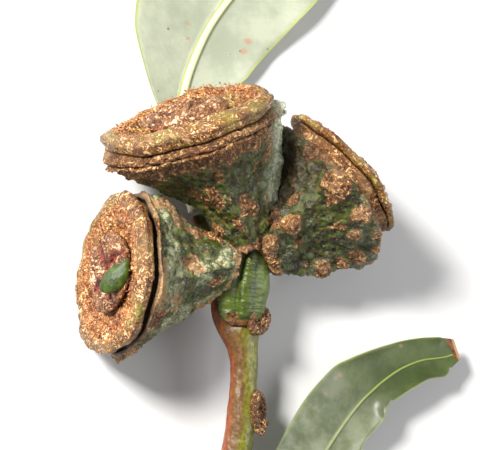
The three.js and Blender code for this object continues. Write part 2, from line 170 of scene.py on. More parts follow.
BASE_RADIUS = 3.3
BASE_SKIN = 0.4
WALL_LENGTH = 18
CORNER_WIDTH = 0.3
WART_COUNT = 22
# Warts above and lumps below these sizes are corky
CORKY_WART = 1.28
CORKY_LUMP = 3
# Turns in degrees of the crusted facet, of the patch of rim cork and of the two kinds of rib
FACET_TURN = -52
PATCH_TURN = -40
CORKY_RIB_TURN = 66
PALE_RIB_TURN = 76
# Rows over which the rim's lip fades, and share of the height, width and height of the roll below it
LIP_ROWS = 1.6
ROLL = (0.94, 0.045, 0.7)

# Outlines of the disc and valves as inset or radius and height, the valves' on the left nut
DISC = (
    (3.2, 0), (1.4, -0.05), (0.25, 0.15), (-0.25, 0.85), (0.0, 1.55), (0.8, 2.1),
    (1.9, 2.35), (2.9, 2.5), (3.7, 2.2), (4.5, 1.4), (5.1, 0.8),
)
DISC_MIDDLE = 0.7
DISC_GROOVE = 0.36
SAG_WIDTH = 0.65
RIDGE_INSET = 2.9
RIDGE_WIDTH = 1.25
RIDGE_BEND_TURN = -0.2
VALVES = ((6.1, 0), (5.7, 0.5), (6.1, 1.15), (7.1, 1.7), (8.4, 1.95), (9.8, 1.6), (10.9, 1.0))
VALVES_RADIUS = 11.8
VALVE_FLOOR = (0.3, 0.9)
CLEFT_TURN = 0.5
CLEFT_WIDTH = 0.75
# Angle in radians by which the loose crumbs tumble at most
TUMBLE = 6.28
# Green swelling on the left nut, across its face: place, way it faces, way it lies and half sizes
SWELLING_PLACE = (4.8, -1.3, 3.85)
SWELLING_FACING = (0.75, -0.1, 0.62)
SWELLING_LENGTHWISE = (0.4, 0.77, -0.49)
SWELLING_SIZE = (3.1, 1.65, 0.95)

DENSITY = 1
NUT_AROUND = int(400 * DENSITY)
WALL_ROWS = int(92 * DENSITY)
NECK_ROWS = int(30 * DENSITY)
DISC_ROWS = int(76 * DENSITY)
VALVE_ROWS = int(50 * DENSITY)
VALVE_AROUND = int(230 * DENSITY)
TWIG_ROWS = int(420 * DENSITY)
STALK_ROWS = int(150 * DENSITY)
SCAR_ROWS = 34

# Twig and stalk: middle, half width and half height along them
TWIG = (
    (-7.1, -52.3, 2.05, 2.15, 2.15), (-5.6, -46.4, 3.1, 2.2, 2.15), (-3.4, -37.5, 4.5, 2.15, 2.1),
    (-1.9, -30.7, 5.5, 2.25, 2.15), (-1.0, -24.6, 6.3, 2.2, 2.1), (-0.6, -19.0, 6.7, 2.05, 2.0),
    (-0.6, -14.6, 6.8, 2.35, 2.2), (-1.0, -11.6, 6.6, 3.2, 2.5), (-2.0, -8.6, 5.8, 2.9, 2.1),
    (-3.1, -4.5, 4.9, 1.9, 1.5), (-4.6, 0.6, 4.1, 1.45, 1.25), (-6.0, 6.0, 3.2, 1.25, 1.1),
)
STALK = (
    (-1.4, -11.2, 9.0, 2.6, 1.5), (-1.4, -9.2, 9.3, 3.4, 1.9), (-1.2, -6.0, 9.9, 3.9, 2.2),
    (-0.8, -3.2, 10.3, 3.6, 2.3), (-0.4, -0.6, 10.9, 3.0, 2.3), (-0.2, 0.8, 11.0, 2.2, 1.9),
)
# Leaf scars: place, way they face and half width, half length and thickness
SCARS = (
    ((0.85, -10.25, 8.5), (0.5, 0.1, 0.86), (2.1, 2.3, 1.7)),
    ((0.85, -23.85, 7.3), (0.75, -0.05, 0.66), (1.7, 2.5, 1.2)),
    ((1.35, -26.35, 7.1), (0.85, -0.4, 0.35), (1.0, 1.1, 1.3)),
)
# Outline of a scar from its edge to its pit, as shares of its half width and thickness
SCAR_OUTLINE = (
    (0.6, -0.6), (1, 0.1), (0.95, 0.6), (0.75, 0.88), (0.55, 0.6), (0.4, 0.72), (0.25, 0.5), (0.12, 0.2),
)

# Leaves: what each value says.
# stations: points of the midrib, with the blade's half widths on its left and right
# petiole: points of the leaf stalk and its radius
# rib: width and height of the midrib at its foot
# lift: how far the left and right edges curl up
# wave: height and number of the edge's waves
# spots: place and size of old spots
# bites: place along, size and depth of small bites out of the right edge
BLADE_THICKNESS = 0.7
UPPER_LEAF = {
    "stations": (
        (-7.5, 17.6, 0.25, 0.9, 0.9), (-7.1, 22.0, 0.1, 3.5, 3.1), (-6.2, 26.8, 0.03, 7.0, 6.2),
        (-4.4, 31.4, 0.03, 11.0, 8.6), (-2.0, 36.0, 0.3, 13.1, 9.6), (1.4, 40.6, 0.7, 13.8, 10.2),
        (6.4, 45.8, 0.9, 12.9, 10.3), (12.6, 50.6, 0.7, 11.4, 9.6), (19.8, 54.6, 0.35, 9.0, 7.9),
        (27.2, 57.3, 0.1, 6.0, 5.5), (33.6, 58.6, 0.05, 3.1, 2.9), (39.0, 59.2, 0.5, 0.5, 0.5),
    ),
    "petiole": (
        (-6.2, 6.9, 3.0, 0.95), (-7.0, 10.4, 2.2, 0.85), (-7.5, 14.0, 1.4, 0.85), (-7.4, 19.5, 0.75, 0.7),
    ),
    "rib": (1.9, 0.75),
    "lift": (1.6, 1.1),
    "wave": (0.5, 3.4),
    "steps": 300,
    "spots": (
        (3.3, 32.3, 0.5), (4.2, 33.9, 0.55), (-5.6, 36.7, 0.35), (-5.5, 34.3, 0.3), (14.0, 55.0, 0.5),
    ),
    "bites": (),
}
LOWER_LEAF = {
    "stations": (
        (3.1, -46.8, 3.0, 0.8, 0.8), (5.2, -42.3, 3.2, 3.6, 3.0), (8.6, -36.6, 3.4, 6.3, 4.3),
        (13.3, -30.4, 3.6, 7.3, 4.5), (16.6, -26.1, 3.8, 7.5, 4.2), (19.3, -23.1, 3.9, 7.2, 4.2),
        (20.9, -21.7, 4.0, 6.5, 3.1), (22.8, -20.2, 4.0, 5.6, 3.3), (26.3, -18.1, 3.9, 4.3, 3.4),
        (29.8, -16.9, 3.7, 3.6, 3.1), (33.2, -16.5, 3.5, 3.3, 3.0), (34.4, -16.3, 3.4, 3.1, 1.9),
        (36.4, -15.7, 3.3, 2.3, 1.1),
    ),
    "petiole": (
        (-2.6, -46.6, 3.6, 0.95), (-0.6, -48.4, 3.3, 0.9), (1.8, -48.2, 3.4, 0.85), (3.6, -45.6, 3.55, 0.7),
    ),
    "rib": (0.62, 0.35),
    "lift": (0.5, 1.3),
    "wave": (0.35, 4.2),
    "steps": 260,
    "spots": ((15.0, -19.3, 0.4), (15.7, -18.8, 0.4), (13.2, -21.7, 0.35), (26.3, -14.5, 0.3)),
    "bites": ((0.545, 0.018, 0.09), (0.9, 0.012, 0.18), (0.33, 0.012, 0.05)),
}
RIB_COLUMNS = (-1.0, -0.8, -0.55, -0.3, 0.0, 0.3, 0.55, 0.8, 1.0)
BLADE_COLUMNS = 30
# Share of the half width at which the blade's columns start beside the midrib
BLADE_START = 0.2
VEIN_COUNT = 44
VEIN_SLANT = 5.5
# Length in radians of one wave of the painted veins
VEIN_WAVE = 6.2832

# Camera: a long lens that looks down on the sprig from the cut end's left
VIEW_TURN = math.radians(-19.2)
VIEW_PITCH = math.radians(7)
VIEW_DISTANCE = 380
VIEW_WIDTH = 72.7
FILM_WIDTH = 36
JUNCTION_HEIGHT = 10.3
VIEW_CENTRE = (-1.5, 3.8)

# Floor and light: name, place and size in metres, power and colour of each soft lamp
FLOOR_GREY = (0.6, 0.6, 0.6, 1)
ROOM_LIGHT = 0.33
LAMPS = (
    ("key", (-0.38, 0.2, 0.4), 0.13, 8.0, (1, 0.98, 0.95)),
    ("fill", (0.42, -0.05, 0.3), 0.3, 1.6, (0.97, 0.98, 1)),
)


# Curves and shapes shared by the pieces


def curve_point(points, t):
    """Point at share t of a smooth curve through the points, evenly shared between them."""
    place = min(max(t, 0), 1) * (len(points) - 1)
    i = min(int(place), len(points) - 2)
    w = place - i
    b, c = Vector(points[i]), Vector(points[i + 1])
    a = Vector(points[i - 1]) if i > 0 else 2 * b - c
    d = Vector(points[i + 2]) if i + 2 < len(points) else 2 * c - b
    da, db, dc = ((q - p).length ** 0.5 for p, q in ((a, b), (b, c), (c, d)))
    db = db if db > 0.01 else 1.0
    da = da if da > 0.01 else db
    dc = dc if dc > 0.01 else db
    start = ((b - a) / da - (c - a) / (da + db) + (c - b) / db) * db
    end = ((c - b) / db - (d - b) / (db + dc) + (d - c) / dc) * db
    w2, w3 = w**2, w**3
    bend = start * (w - 2 * w2 + w3) + end * (w3 - w2)
    return b * (1 - 3 * w2 + 2 * w3) + c * (3 * w2 - 2 * w3) + bend


def curve_way(points, t):
    """Direction of that curve at share t."""
    return (curve_point(points, min(t + 1e-4, 1)) - curve_point(points, max(t - 1e-4, 0))).normalized()


def bell(value, width):
    """1 at zero, fading to nothing about two widths away."""
    return math.exp(-((value / width) ** 2))


def turn_between(a, b):
    return math.atan2(math.sin(a - b), math.cos(a - b))


def turn_bell(turn, degrees, width):
    """1 at a turn given in degrees, fading to both sides of it."""
    return bell(turn_between(turn, math.radians(degrees)), width)


def spread(index, step, start):
    """Evenly spread fractions, used to place warts and crumbs by rule."""
    return (start + index * step) % 1


def smooth(low, high, value):
    """Goes smoothly from 0 at low to 1 at high."""
    share = min(max((value - low) / (high - low), 0), 1)
    return share * share * (3 - 2 * share)


def rough(point, scale, octaves=3):
    """Fractal noise of about -1 to 1 at a point, its bumps 1/scale wide."""
    return noise.fractal(point * scale, 1.0, 2.0, octaves)


def crust(point, scale):
    """Crest lines of a crinkled crust, from about -0.6 in its gaps to 0.5 on its crests."""
    return 0.5 - noise.turbulence(point * scale, 4, True)


def pimple(point, scale, height):
    """Round bumps as high as given, about 1/scale apart."""
    return max(0, height - noise.voronoi(point * scale)[0][0])


def finish_piece(name, mesh, material, replaced=()):
    """Makes an object of the mesh, flat where it rests, at the origin and riding on the frame."""
    bmesh.ops.recalc_face_normals(mesh, faces=mesh.faces)
    bmesh.ops.translate(mesh, verts=mesh.verts, vec=SHIFT)
    for vert in mesh.verts:
        vert.co.z = max(vert.co.z, 0)
    bmesh.ops.scale(mesh, verts=mesh.verts, vec=(MM, MM, MM))
    data = bpy.data.meshes.new(name)
    mesh.to_mesh(data)
    mesh.free()
    data.shade_smooth()
    piece = bpy.data.objects.new(name, data)
    bpy.context.collection.objects.link(piece)
    data.materials.append(material)
    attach(piece, "root")
    if replaced:
        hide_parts(*replaced)
    return piece


def add_mesh(whole, part):
    """Adds one mesh to another and frees it."""
    data = bpy.data.meshes.new("part")
    part.to_mesh(data)
    part.free()
    whole.from_mesh(data)
    bpy.data.meshes.remove(data)


def paint_layers(mesh, *names):
    """Values kept at every vertex for the materials to read."""
    return {name: mesh.verts.layers.float.new(name) for name in names}


def spun(rows, around, place):
    """A closed skin of that many rings between two poles, put where place says for turn and row."""
    mesh = bmesh.new()
    row_of = mesh.verts.layers.float.new("row")
    turn_of = mesh.verts.layers.float.new("turned")
    line = []
    for row in range(rows + 2):
        line.append(mesh.verts.new((0 if row in (0, rows + 1) else 1, 0, row)))
        line[-1][row_of] = row
    edges = [mesh.edges.new(pair) for pair in zip(line, line[1:])]
    bmesh.ops.spin(
        mesh, geom=line + edges, cent=(0, 0, 0), axis=UP, angle=2 * math.pi, steps=around, use_merge=True
    )
    bmesh.ops.remove_doubles(mesh, verts=mesh.verts, dist=1e-4)
    for vert in mesh.verts:
        vert[turn_of] = math.atan2(vert.co.y, vert.co.x)
        vert.co = place(vert[turn_of], vert[row_of])
    bmesh.ops.recalc_face_normals(mesh, faces=mesh.faces)
    mesh.normal_update()
    return mesh, row_of, turn_of


# Gum nuts

Spot = namedtuple("Spot", "turn share size height")


def nut_axes(nut):
    """The way the rim faces, the uppermost way across it and sideways."""
    face = Vector(nut["face"]).normalized()
    up = (UP - face * face.z).normalized()
    return face, up, face.cross(up)


def warts_of(nut):
    """Small warts spread by rule, with sizes of 0.7 to 1.4 mm."""
    kind = nut["warts"]
    return [
        Spot(
            2 * math.pi * spread(i, 0.7548777, 0.31 * kind),
            0.16 + 0.78 * spread(i, 0.5698403, 0.17 * kind),
            0.7 + 0.7 * spread(i, 0.618034, 0.2),
            0.25 + 0.4 * spread(i, 0.414214, 0.5),
        )
        for i in range(WART_COUNT)
    ]


def lumps_of(nut):
    """The larger warts, swellings and dents that were placed one by one."""
    return [Spot(math.radians(at), share, size, height) for at, share, size, height in nut["lumps"]]


def corner_at(nut, turn, along):
    """How far the ribs' corners stick out at a turn and share of the height."""
    corner = 0
    for at, _, reach, _, left in nut["ribs"]:
        grown = along**1.6 * (1 - (1 - left) * along**6)
        corner += reach * grown * turn_bell(turn, at, CORNER_WIDTH)
    return corner


def section_radius(nut, turn, along):
    """Radius of the four-cornered section at a height, its corners on the ribs."""
    reach = nut["radius"] - BASE_RADIUS - BASE_SKIN
    ribs = sorted(
        (math.radians(at), share * (BASE_RADIUS + BASE_SKIN + reach * along**late))
        for at, share, _, late, _ in nut["ribs"]
    )
    plain = nut["radius"] * along + BASE_RADIUS * (1 - along)
    angular = (0.35 + 0.65 * math.sin(math.pi * min(1, along * 1.25)) ** 0.8) * (1 - 0.8 * along**5)
    for (start, low), (end, high) in zip(ribs, ribs[1:] + ribs[:1]):
        span = (end - start) % (2 * math.pi)
        past = (turn - start) % (2 * math.pi)
        if past <= span:
            chord = max(0.66, math.cos(span / 2) / math.cos(past - span / 2))
            cornered = low + (high - low) * past / span
            return (cornered + (plain - cornered) * along**5) * (1 + (chord - 1) * angular)
    return plain


def rim_height(turn, height):
    """A height at the rim, which isn't quite level."""
    return height + 0.18 * math.sin(3 * turn + 1) + 0.1 * math.sin(8 * turn)


def away_from(spot, turn, along, radius):
    """Distance on the wall from a wart or lump."""
    return math.hypot(turn_between(turn, spot.turn) * radius, (along - spot.share) * WALL_LENGTH)


def spot_heights(spots, turn, along, radius):
    return [spot.height * bell(away_from(spot, turn, along, radius), spot.size) for spot in spots]


def wall_share(row):
    """Share of the wall's height at a row of the cup."""
    return min(0.03 + 0.97 * max(row - 1, 0) / (WALL_ROWS - 1), 1)


def wall_cork(nut, corky, point, turn, along):
    """How corky the wall is: on its large warts, along the rim, ribs and base, and in blotches."""
    wide = nut["radius"] * (0.3 + 0.7 * along)
    wobble = 0.3 * rough(point, 0.9, 2)
    warty = max(
        1 - smooth(0.75, 1.15, (away_from(spot, turn, along, wide) + wobble) / spot.size) for spot in corky
    )
    blotch = rough(point, 0.25, 3) + nut["crust"] * turn_bell(turn, FACET_TURN, 0.55)
    edge = nut["rim_cork"] - nut["rim_patch"] * turn_bell(turn, PATCH_TURN, 0.5)
    rimward = smooth(edge - 0.05, edge + 0.02, along + 0.06 * rough(point, 0.6, 3))
    near_rib = max(turn_bell(turn, rib[0], 0.12) for rib in nut["ribs"])
    ribbed = 0.6 * near_rib * smooth(0.1, 0.3, along) * smooth(0.0, 0.4, blotch)
    crest = turn_bell(turn, CORKY_RIB_TURN, 0.2) * smooth(-0.35, 0.1, rough(point, 0.5, 2))
    low = 1 - smooth(0.05, 0.14, along)
    return max(warty, rimward, ribbed, nut["corky_rib"] * crest, smooth(0.36, 0.5, blotch), low)


def cup_piece(side, nut, material):
    """Warty ribbed cup with its corky rim, the groove inside it and the neck."""
    face, up, sideways = nut_axes(nut)
    base, rim = Vector(nut["base"]), Vector(nut["rim"])
    warts, lumps = warts_of(nut), lumps_of(nut)
    neck = ((0, 0),) + nut["neck"]
    last_row = WALL_ROWS + NECK_ROWS + 1
    roll_share, roll_width, roll_height = ROLL
    plain = 1 - nut["crumbly"]

    def place(turn, row):
        if row == 0:
            return base
        if row == last_row:
            return rim + face * neck[-1][1]
        radial = up * math.cos(turn) + sideways * math.sin(turn)
        if row > WALL_ROWS:
            inset, height = curve_point(neck, (row - WALL_ROWS) / NECK_ROWS)
            corner = corner_at(nut, turn, 1) * max(0, 1 - inset / 3)
            radius = nut["radius"] - inset + corner + 0.12 * math.sin(5 * turn + inset)
            return rim + radial * radius + face * rim_height(turn, height)
        along = wall_share(row)
        radius = section_radius(nut, turn, along) + corner_at(nut, turn, along)
        radius += 0.16 * math.sin(7 * turn + 9 * along) + 0.12 * math.sin(11 * turn - 13 * along)
        raised = max(spot_heights(warts, turn, along, radius)) + sum(spot_heights(lumps, turn, along, radius))
        return base.lerp(rim, along) + radial * (radius + raised) + face * (rim_height(turn, 0) * along**3)

    mesh, row_of, turn_of = spun(last_row - 1, NUT_AROUND, place)
    paint = paint_layers(mesh, "cork", "wax", "relief", "dark", "pale")
    corky = [wart for wart in warts if wart.size > CORKY_WART]
    corky += [lump for lump in lumps if lump.size < CORKY_LUMP]
    for vert in mesh.verts:
        turn, row, point = vert[turn_of], vert[row_of], vert.co.copy()
        along = wall_share(row)
        inside = smooth(WALL_ROWS, WALL_ROWS + 0.2 * NECK_ROWS, row)
        deep = smooth(WALL_ROWS + 0.75 * NECK_ROWS, WALL_ROWS + 0.95 * NECK_ROWS, row)
        lip = bell(row - WALL_ROWS, LIP_ROWS)
        pale = nut["pale_rib"] * turn_bell(turn, PALE_RIB_TURN, 0.24) * smooth(0.2, 0.45, along)
        cork = max(wall_cork(nut, corky, point, turn, along) * (1 - pale), inside, lip * plain)

        # Crust on the cork, bumps and pimples on the green
        flakes = crust(point, 1.15)
        curls = crust(point + Vector((9, 2, 4)), 0.65)
        bumps = pimple(point, 0.62, 0.55)
        green = 0.75 * bumps + 0.35 * pimple(point, 1.2, 0.5) + 0.3 * flakes
        corky_crust = (0.6 * flakes + 0.45 * curls + 0.2) * (1 - inside * plain)
        fine = 0.2 * rough(point, 0.45, 2) + green * (1 - cork) + corky_crust * cork
        if row <= WALL_ROWS:
            fine += roll_height * nut["crumbly"] * bell(along - roll_share, roll_width) * (1 - inside)
        fine *= 1 - 0.7 * lip * plain
        if row in (0, last_row):
            fine = 0
        radial = up * math.cos(turn) + sideways * math.sin(turn)
        outward = (vert.normal + (radial - vert.normal) * inside).normalized()
        vert.co = point + outward * fine + face * (nut["lift"] * deep - 0.35 * lip * plain)

        shade = nut["shade"] * turn_bell(turn, FACET_TURN, 0.55) * (1 - inside)
        # Relief is high on crests and low in hollows; the materials paint highlight and shade from it
        relief = (0.8 * flakes + 0.6 * curls) * cork + (1.1 * bumps + 0.6 * flakes - 0.12) * (1 - cork)
        vert[paint["cork"]] = cork
        vert[paint["wax"]] = nut["wax"] * smooth(-0.6, 0.5, rough(point + Vector((5, 3, 1)), 0.22, 2))
        vert[paint["relief"]] = 0.5 + relief
        # Painted shade in the neck inside the rim, deepest by the disc, and on the facet in the top nut's
        # shadow
        vert[paint["dark"]] = max(inside * nut["neck_dark"] * (1 - lip), 0.6 * deep, shade)
        vert[paint["pale"]] = pale
    return finish_piece(side + "_nut_cup", mesh, material, ("cup_" + side,))


def disc_place(nut, turn, share):
    """Inset, radius and height over the rim at a share of the disc's outline."""
    at, narrower, lower = nut["sag"]
    sag = turn_bell(turn, at, SAG_WIDTH)
    inset, height = curve_point(DISC, share)
    radius = nut["radius"] - inset - narrower * sag + 0.12 * math.sin(5 * turn + inset)
    level = nut["under"] + height * nut["swell"] * (1 - lower * sag)
    return inset, radius, level + rim_height(turn, 0) * radius / nut["radius"]


def disc_piece(side, nut, material):
    """Swollen brown disc with a crumbly fibrous ridge round its sunken middle."""
    face, up, sideways = nut_axes(nut)
    rim = Vector(nut["rim"])
    glassy = min(1, nut["ridge_in"])

    def place(turn, row):
        if row == 0:
            return rim + face * nut["under"]
        if row > DISC_ROWS:
            return rim + face * (nut["under"] + DISC_MIDDLE * nut["swell"])
        radial = up * math.cos(turn) + sideways * math.sin(turn)
        _, radius, height = disc_place(nut, turn, (row - 1) / (DISC_ROWS - 1))
        return rim + radial * radius + face * height

    mesh, row_of, turn_of = spun(DISC_ROWS, NUT_AROUND, place)
    paint = paint_layers(mesh, "fibre", "green", "relief", "dark")
    for vert in mesh.verts:
        turn, point = vert[turn_of], vert.co.copy()
        share = min(max((vert[row_of] - 1) / (DISC_ROWS - 1), 0), 1)
        inset, _, _ = disc_place(nut, turn, share)
        radial = up * math.cos(turn) + sideways * math.sin(turn)

        # Where the ridge, the sunken moat inside it and the groove round the edge are
        on_top = smooth(0.42, 0.58, share)
        inward = nut["ridge_in"] * bell(turn_between(turn, RIDGE_BEND_TURN), 1)
        middle = RIDGE_INSET + inward + 0.5 * math.sin(2 * turn + nut["warts"]) + 0.6 * rough(point, 0.2, 2)
        ridge = bell(inset - middle, RIDGE_WIDTH) * on_top
        moat = smooth(3.7 + inward, 4.7 + inward, inset) * on_top
        groove = bell(share - DISC_GROOVE, 0.035)
        edge = smooth(0.14, 0.3, share) * (1 - smooth(0.5 + 0.1 * inward, 0.62 + 0.1 * inward, share))

        curls = crust(point + Vector((3, 8, 1)), 0.6)
        flakes = crust(point, 1.2)
        creases = crust(point, 0.7)
        folds = rough(radial * 3 + face * (2.4 * share), 1.0, 2)
        fine = 0.3 * rough(point, 0.35, 2) + 0.16 * creases + 0.12 * folds - 0.28 * groove * nut["swell"]
        fine += (0.8 * flakes + 0.6 * curls + 0.4) * ridge + 0.5 * moat * flakes
        if share < 0.2 or vert[row_of] > DISC_ROWS:
            fine *= 0.3
        vert.co = point + vert.normal * fine

        crumbly = max(ridge, 0.6 * moat)
        relief = (0.9 * flakes + 0.5 * curls) * crumbly + (0.5 * creases + 0.4 * folds) * (1 - crumbly)
        vert[paint["fibre"]] = min(1, 1.3 * ridge + 0.8 * moat * (1 - glassy))
        vert[paint["green"]] = max(edge * smooth(-0.1, 0.4, folds), 0.6 * glassy * moat * (1 - ridge))
        # Painted shade: the relief drops in the groove and the underside by the neck is darkened
        vert[paint["relief"]] = 0.55 + relief - 0.5 * groove
        vert[paint["dark"]] = 1 - smooth(0.1, 0.2, share)
    return finish_piece(side + "_nut_disc", mesh, material, ("disc_" + side,))


def valves_piece(side, nut, material):
    """Four swollen crusty valves parted by a star-shaped cleft."""
    face, up, sideways = nut_axes(nut)
    rim = Vector(nut["rim"])
    floor = nut["under"] + VALVE_FLOOR[0] + VALVE_FLOOR[1] * nut["swell"]

    def cleft_at(turn, radius):
        return bell(math.sin(2 * (turn - CLEFT_TURN)) * radius / 2, CLEFT_WIDTH)

    def valve_size(row):
        inset, height = curve_point(VALVES, min(max((row - 1) / (VALVE_ROWS - 1), 0), 1))
        return nut["radius"] * (1 - inset / VALVES_RADIUS), height

    def place(turn, row):
        if row == 0:
            return rim + face * floor
        if row > VALVE_ROWS:
            return rim + face * (floor + 0.7 * nut["bold"])
        radial = up * math.cos(turn) + sideways * math.sin(turn)
        radius, height = valve_size(row)
        cleft = cleft_at(turn, radius)
        swell = 1 + 0.18 * math.sin(turn + nut["warts"]) + 0.1 * math.sin(3 * turn)
        level = floor + nut["bold"] * height * swell * (1 - 0.62 * cleft)
        return rim + radial * (radius - 0.5 * cleft * min(1, height)) + face * level

    mesh, row_of, turn_of = spun(VALVE_ROWS, VALVE_AROUND, place)
    paint = paint_layers(mesh, "cleft", "relief")
    for vert in mesh.verts:
        turn, row, point = vert[turn_of], vert[row_of], vert.co.copy()
        radius, _ = valve_size(row)
        cleft = cleft_at(turn, radius)
        top = smooth(0.1, 0.35, row / VALVE_ROWS)
        lobe = (1 - cleft) * math.sin(math.pi * min(1, radius / 5.6))
        flakes = crust(point, 1.1)
        curls = crust(point + face * 9, 0.5)
        fine = (0.7 * flakes + 0.7 * curls + 0.3) * top * (1 - 0.6 * smooth(4.2, 5.4, radius))
        fine += 0.6 * lobe * nut["bold"] - 0.45 * cleft * top
        vert.co = point + (vert.normal + face * 0.4).normalized() * fine * (0.3 + 0.7 * top)
        vert[paint["cleft"]] = smooth(0.4, 0.85, cleft) * top * nut["red"]
        # Relief for painted highlight on the crests and painted shade in the gaps
        vert[paint["relief"]] = 0.5 + 0.8 * flakes + 0.6 * curls
    return finish_piece(side + "_nut_valves", mesh, material, ("valves_" + side,))


def green_swelling(nut, material):
    """Smooth green swelling where one valve is still unweathered."""
    face, up, sideways = nut_axes(nut)

    def across_face(local):
        return up * local[0] + sideways * local[1] + face * local[2]

    middle = Vector(nut["rim"]) + across_face(SWELLING_PLACE)
    facing = across_face(SWELLING_FACING).normalized()
    width = facing.cross(across_face(SWELLING_LENGTHWISE)).normalized()
    length = width.cross(facing)
    long, wide, thick = SWELLING_SIZE
    mesh = bmesh.new()
    bmesh.ops.create_uvsphere(mesh, u_segments=72, v_segments=36, radius=1)
    for vert in mesh.verts:
        x, y, z = vert.co
        taper = 1 - 0.35 * x * x - 0.18 * x
        spot = middle + length * (long * x) + width * (wide * y * taper + 0.3 * x * x) + facing * (thick * z)
        vert.co = spot + facing * (0.12 * rough(spot, 0.6, 3))
    return finish_piece("left_nut_green_swelling", mesh, material)


def crumbs_piece(side, nut, material):
    """Loose dry flakes and curls of cork on the disc's ridge."""
    face, up, sideways = nut_axes(nut)
    rim = Vector(nut["rim"])
    mesh = bmesh.new()
    tint = mesh.verts.layers.float.new("tint")
    for i in range(nut["crumbs"]):
        turn = 2 * math.pi * spread(i, 0.618034, 0.1 * nut["warts"])
        inward = 0.1 * nut["ridge_in"] * bell(turn_between(turn, RIDGE_BEND_TURN), 1)
        share = 0.6 + inward + (0.26 - 0.7 * inward) * spread(i, 0.7548777, 0.3) ** 0.8
        radial = up * math.cos(turn) + sideways * math.sin(turn)
        _, radius, height = disc_place(nut, turn, share)
        seat = rim + radial * radius + face * (height + 0.1 + 0.3 * spread(i, 0.5698403, 0.4))
        long = 0.12 + 0.26 * spread(i, 0.737, 0.9) ** 2
        shape = Matrix.Diagonal((0.5 * long, 0.35 * long, 1.3 * long, 1))
        roll = Matrix.Rotation(TUMBLE * spread(i, 0.302, 0.2), 4, "X")
        tilt = roll @ Matrix.Rotation(TUMBLE * spread(i, 0.283, 0.5), 4, "Y")
        ball = bmesh.ops.create_icosphere(mesh, subdivisions=1, radius=1)
        for vert in ball["verts"]:
            bend = Vector((0.5 * vert.co.z**2, 0.3 * math.sin(3 * vert.co.z + i), 0))
            vert.co = seat + tilt @ (shape @ (vert.co + bend))
            vert[tint] = spread(i, 0.618034, 0.35)
    return finish_piece(side + "_nut_crumbs", mesh, material)


# Twig, stalk and scars


def tube(stations, around, steps, shape):
    """Mesh of a tube with rounded ends, shaped by turn, share of the length and place."""
    path = [s[:3] for s in stations]
    sizes = [s[3:5] for s in stations]

    def place(turn, row):
        t = min(max((row - 1) / steps, 0), 1)
        centre, way, size = curve_point(path, t), curve_way(path, t), curve_point(sizes, t)
        if row == 0:
            return centre - way * 0.2
        if row > steps + 1:
            return centre + way * 0.25
        side = way.cross(UP).normalized()
        up = side.cross(way)
        scale, lift = shape(turn, t, centre)
        across = side * ((size.x * scale + lift) * math.cos(turn))
        return centre + across + up * ((size.y * scale + lift) * math.sin(turn))

    mesh, row_of, _ = spun(steps + 1, around, place)
    run = mesh.verts.layers.float.new("run")
    for vert in mesh.verts:
        vert[run] = min(max((vert[row_of] - 1) / steps, 0), 1)
    return mesh


def twig_piece(material):
    """Woody twig with faint lengthwise lines in its bark."""
    def shape(turn, t, centre):
        bark = 1 + 0.03 * math.sin(3 * turn + 14 * t) + 0.02 * math.sin(5 * turn - 40 * t)
        spot = centre + Vector((math.cos(turn), 0, math.sin(turn))) * 2
        lines = rough(Vector((spot.x * 2.2, spot.y * 0.35, spot.z * 2.2)), 1.0, 3)
        return bark, 0.06 * rough(spot, 0.7, 3) + 0.045 * lines

    return finish_piece("woody_twig", tube(TWIG, 96, TWIG_ROWS, shape), material, ("twig",))


def stalk_piece(material):
    """Short flattened stalk with a lobe on its left and fine creases on its right."""
    def shape(turn, t, centre):
        furrow = 0.26 * bell(turn - 2.05, 0.2) + 0.1 * bell(turn - 1.2, 0.25)
        square = 1 + 0.06 * math.cos(4 * turn)
        toe = math.sqrt(1 - (1 - min(t / 0.16, 1)) ** 2 * 0.55)
        spot = centre + Vector((math.cos(turn), 0, math.sin(turn))) * 3
        folds = crust(Vector((spot.x * 0.5, spot.y * 1.7, spot.z * 0.5)), 0.9)
        return (square - furrow) * toe, 0.17 * folds + 0.2 * rough(spot, 0.35, 2)

    mesh = tube(STALK, 200, STALK_ROWS, shape)
    layers = mesh.verts.layers.float
    paint = paint_layers(mesh, "lit", "seam")
    for vert in mesh.verts:
        turn, t = vert[layers["turned"]], vert[layers["run"]]
        wander = rough(vert.co, 0.3, 2)
        left_lobe = bell(turn_between(turn, 2.6), 0.35)
        vert[paint["lit"]] = max(smooth(0.1, 0.95, math.cos(turn) + 0.35 * wander), 0.6 * left_lobe)
        from_scar = math.hypot(turn_between(turn, 2.3) / 0.42, (t - 0.15) / 0.06) + 0.3 * wander
        foot = 1 - smooth(0.05, 0.1, t + 0.02 * wander)
        vert[paint["seam"]] = max(1 - smooth(0.5, 1.3, from_scar), foot)
    return finish_piece("nut_stalk", mesh, material, ("stalk",))


def scars_piece(material):
    """Corky rings with a pit where old leaves were."""
    whole = bmesh.new()
    for centre, face, (wide, tall, thick) in SCARS:
        centre, face = Vector(centre), Vector(face).normalized()
        side = Vector((0, 1, 0)).cross(face).normalized()
        along = face.cross(side)

        def place(turn, row):
            if row == 0:
                return centre - face * thick
            if row > SCAR_ROWS:
                return centre + face * 0.3 * thick
            reach, height = curve_point(SCAR_OUTLINE, (row - 1) / (SCAR_ROWS - 1))
            reach *= 1.12 + 0.08 * math.sin(3 * turn + reach)
            across = side * (reach * wide * math.cos(turn)) + along * (reach * tall * math.sin(turn))
            return centre + face * (height * thick) + across

        part, row_of, _ = spun(SCAR_ROWS, 84, place)
        paint = paint_layers(part, "dark", "relief")
        for vert in part.verts:
            flakes = crust(vert.co, 1.3)
            share = vert[row_of] / SCAR_ROWS
            # Painted shade in the pit
            vert[paint["dark"]] = smooth(0.84, 0.95, share)
            # Relief for painted highlight on the crests and painted shade in the gaps
            vert[paint["relief"]] = 0.5 + 0.9 * flakes
            vert.co += vert.normal * (0.5 * flakes + 0.1) * smooth(0.15, 0.35, share)
        add_mesh(whole, part)
    return finish_piece("leaf_scars", whole, material)


# Leaves


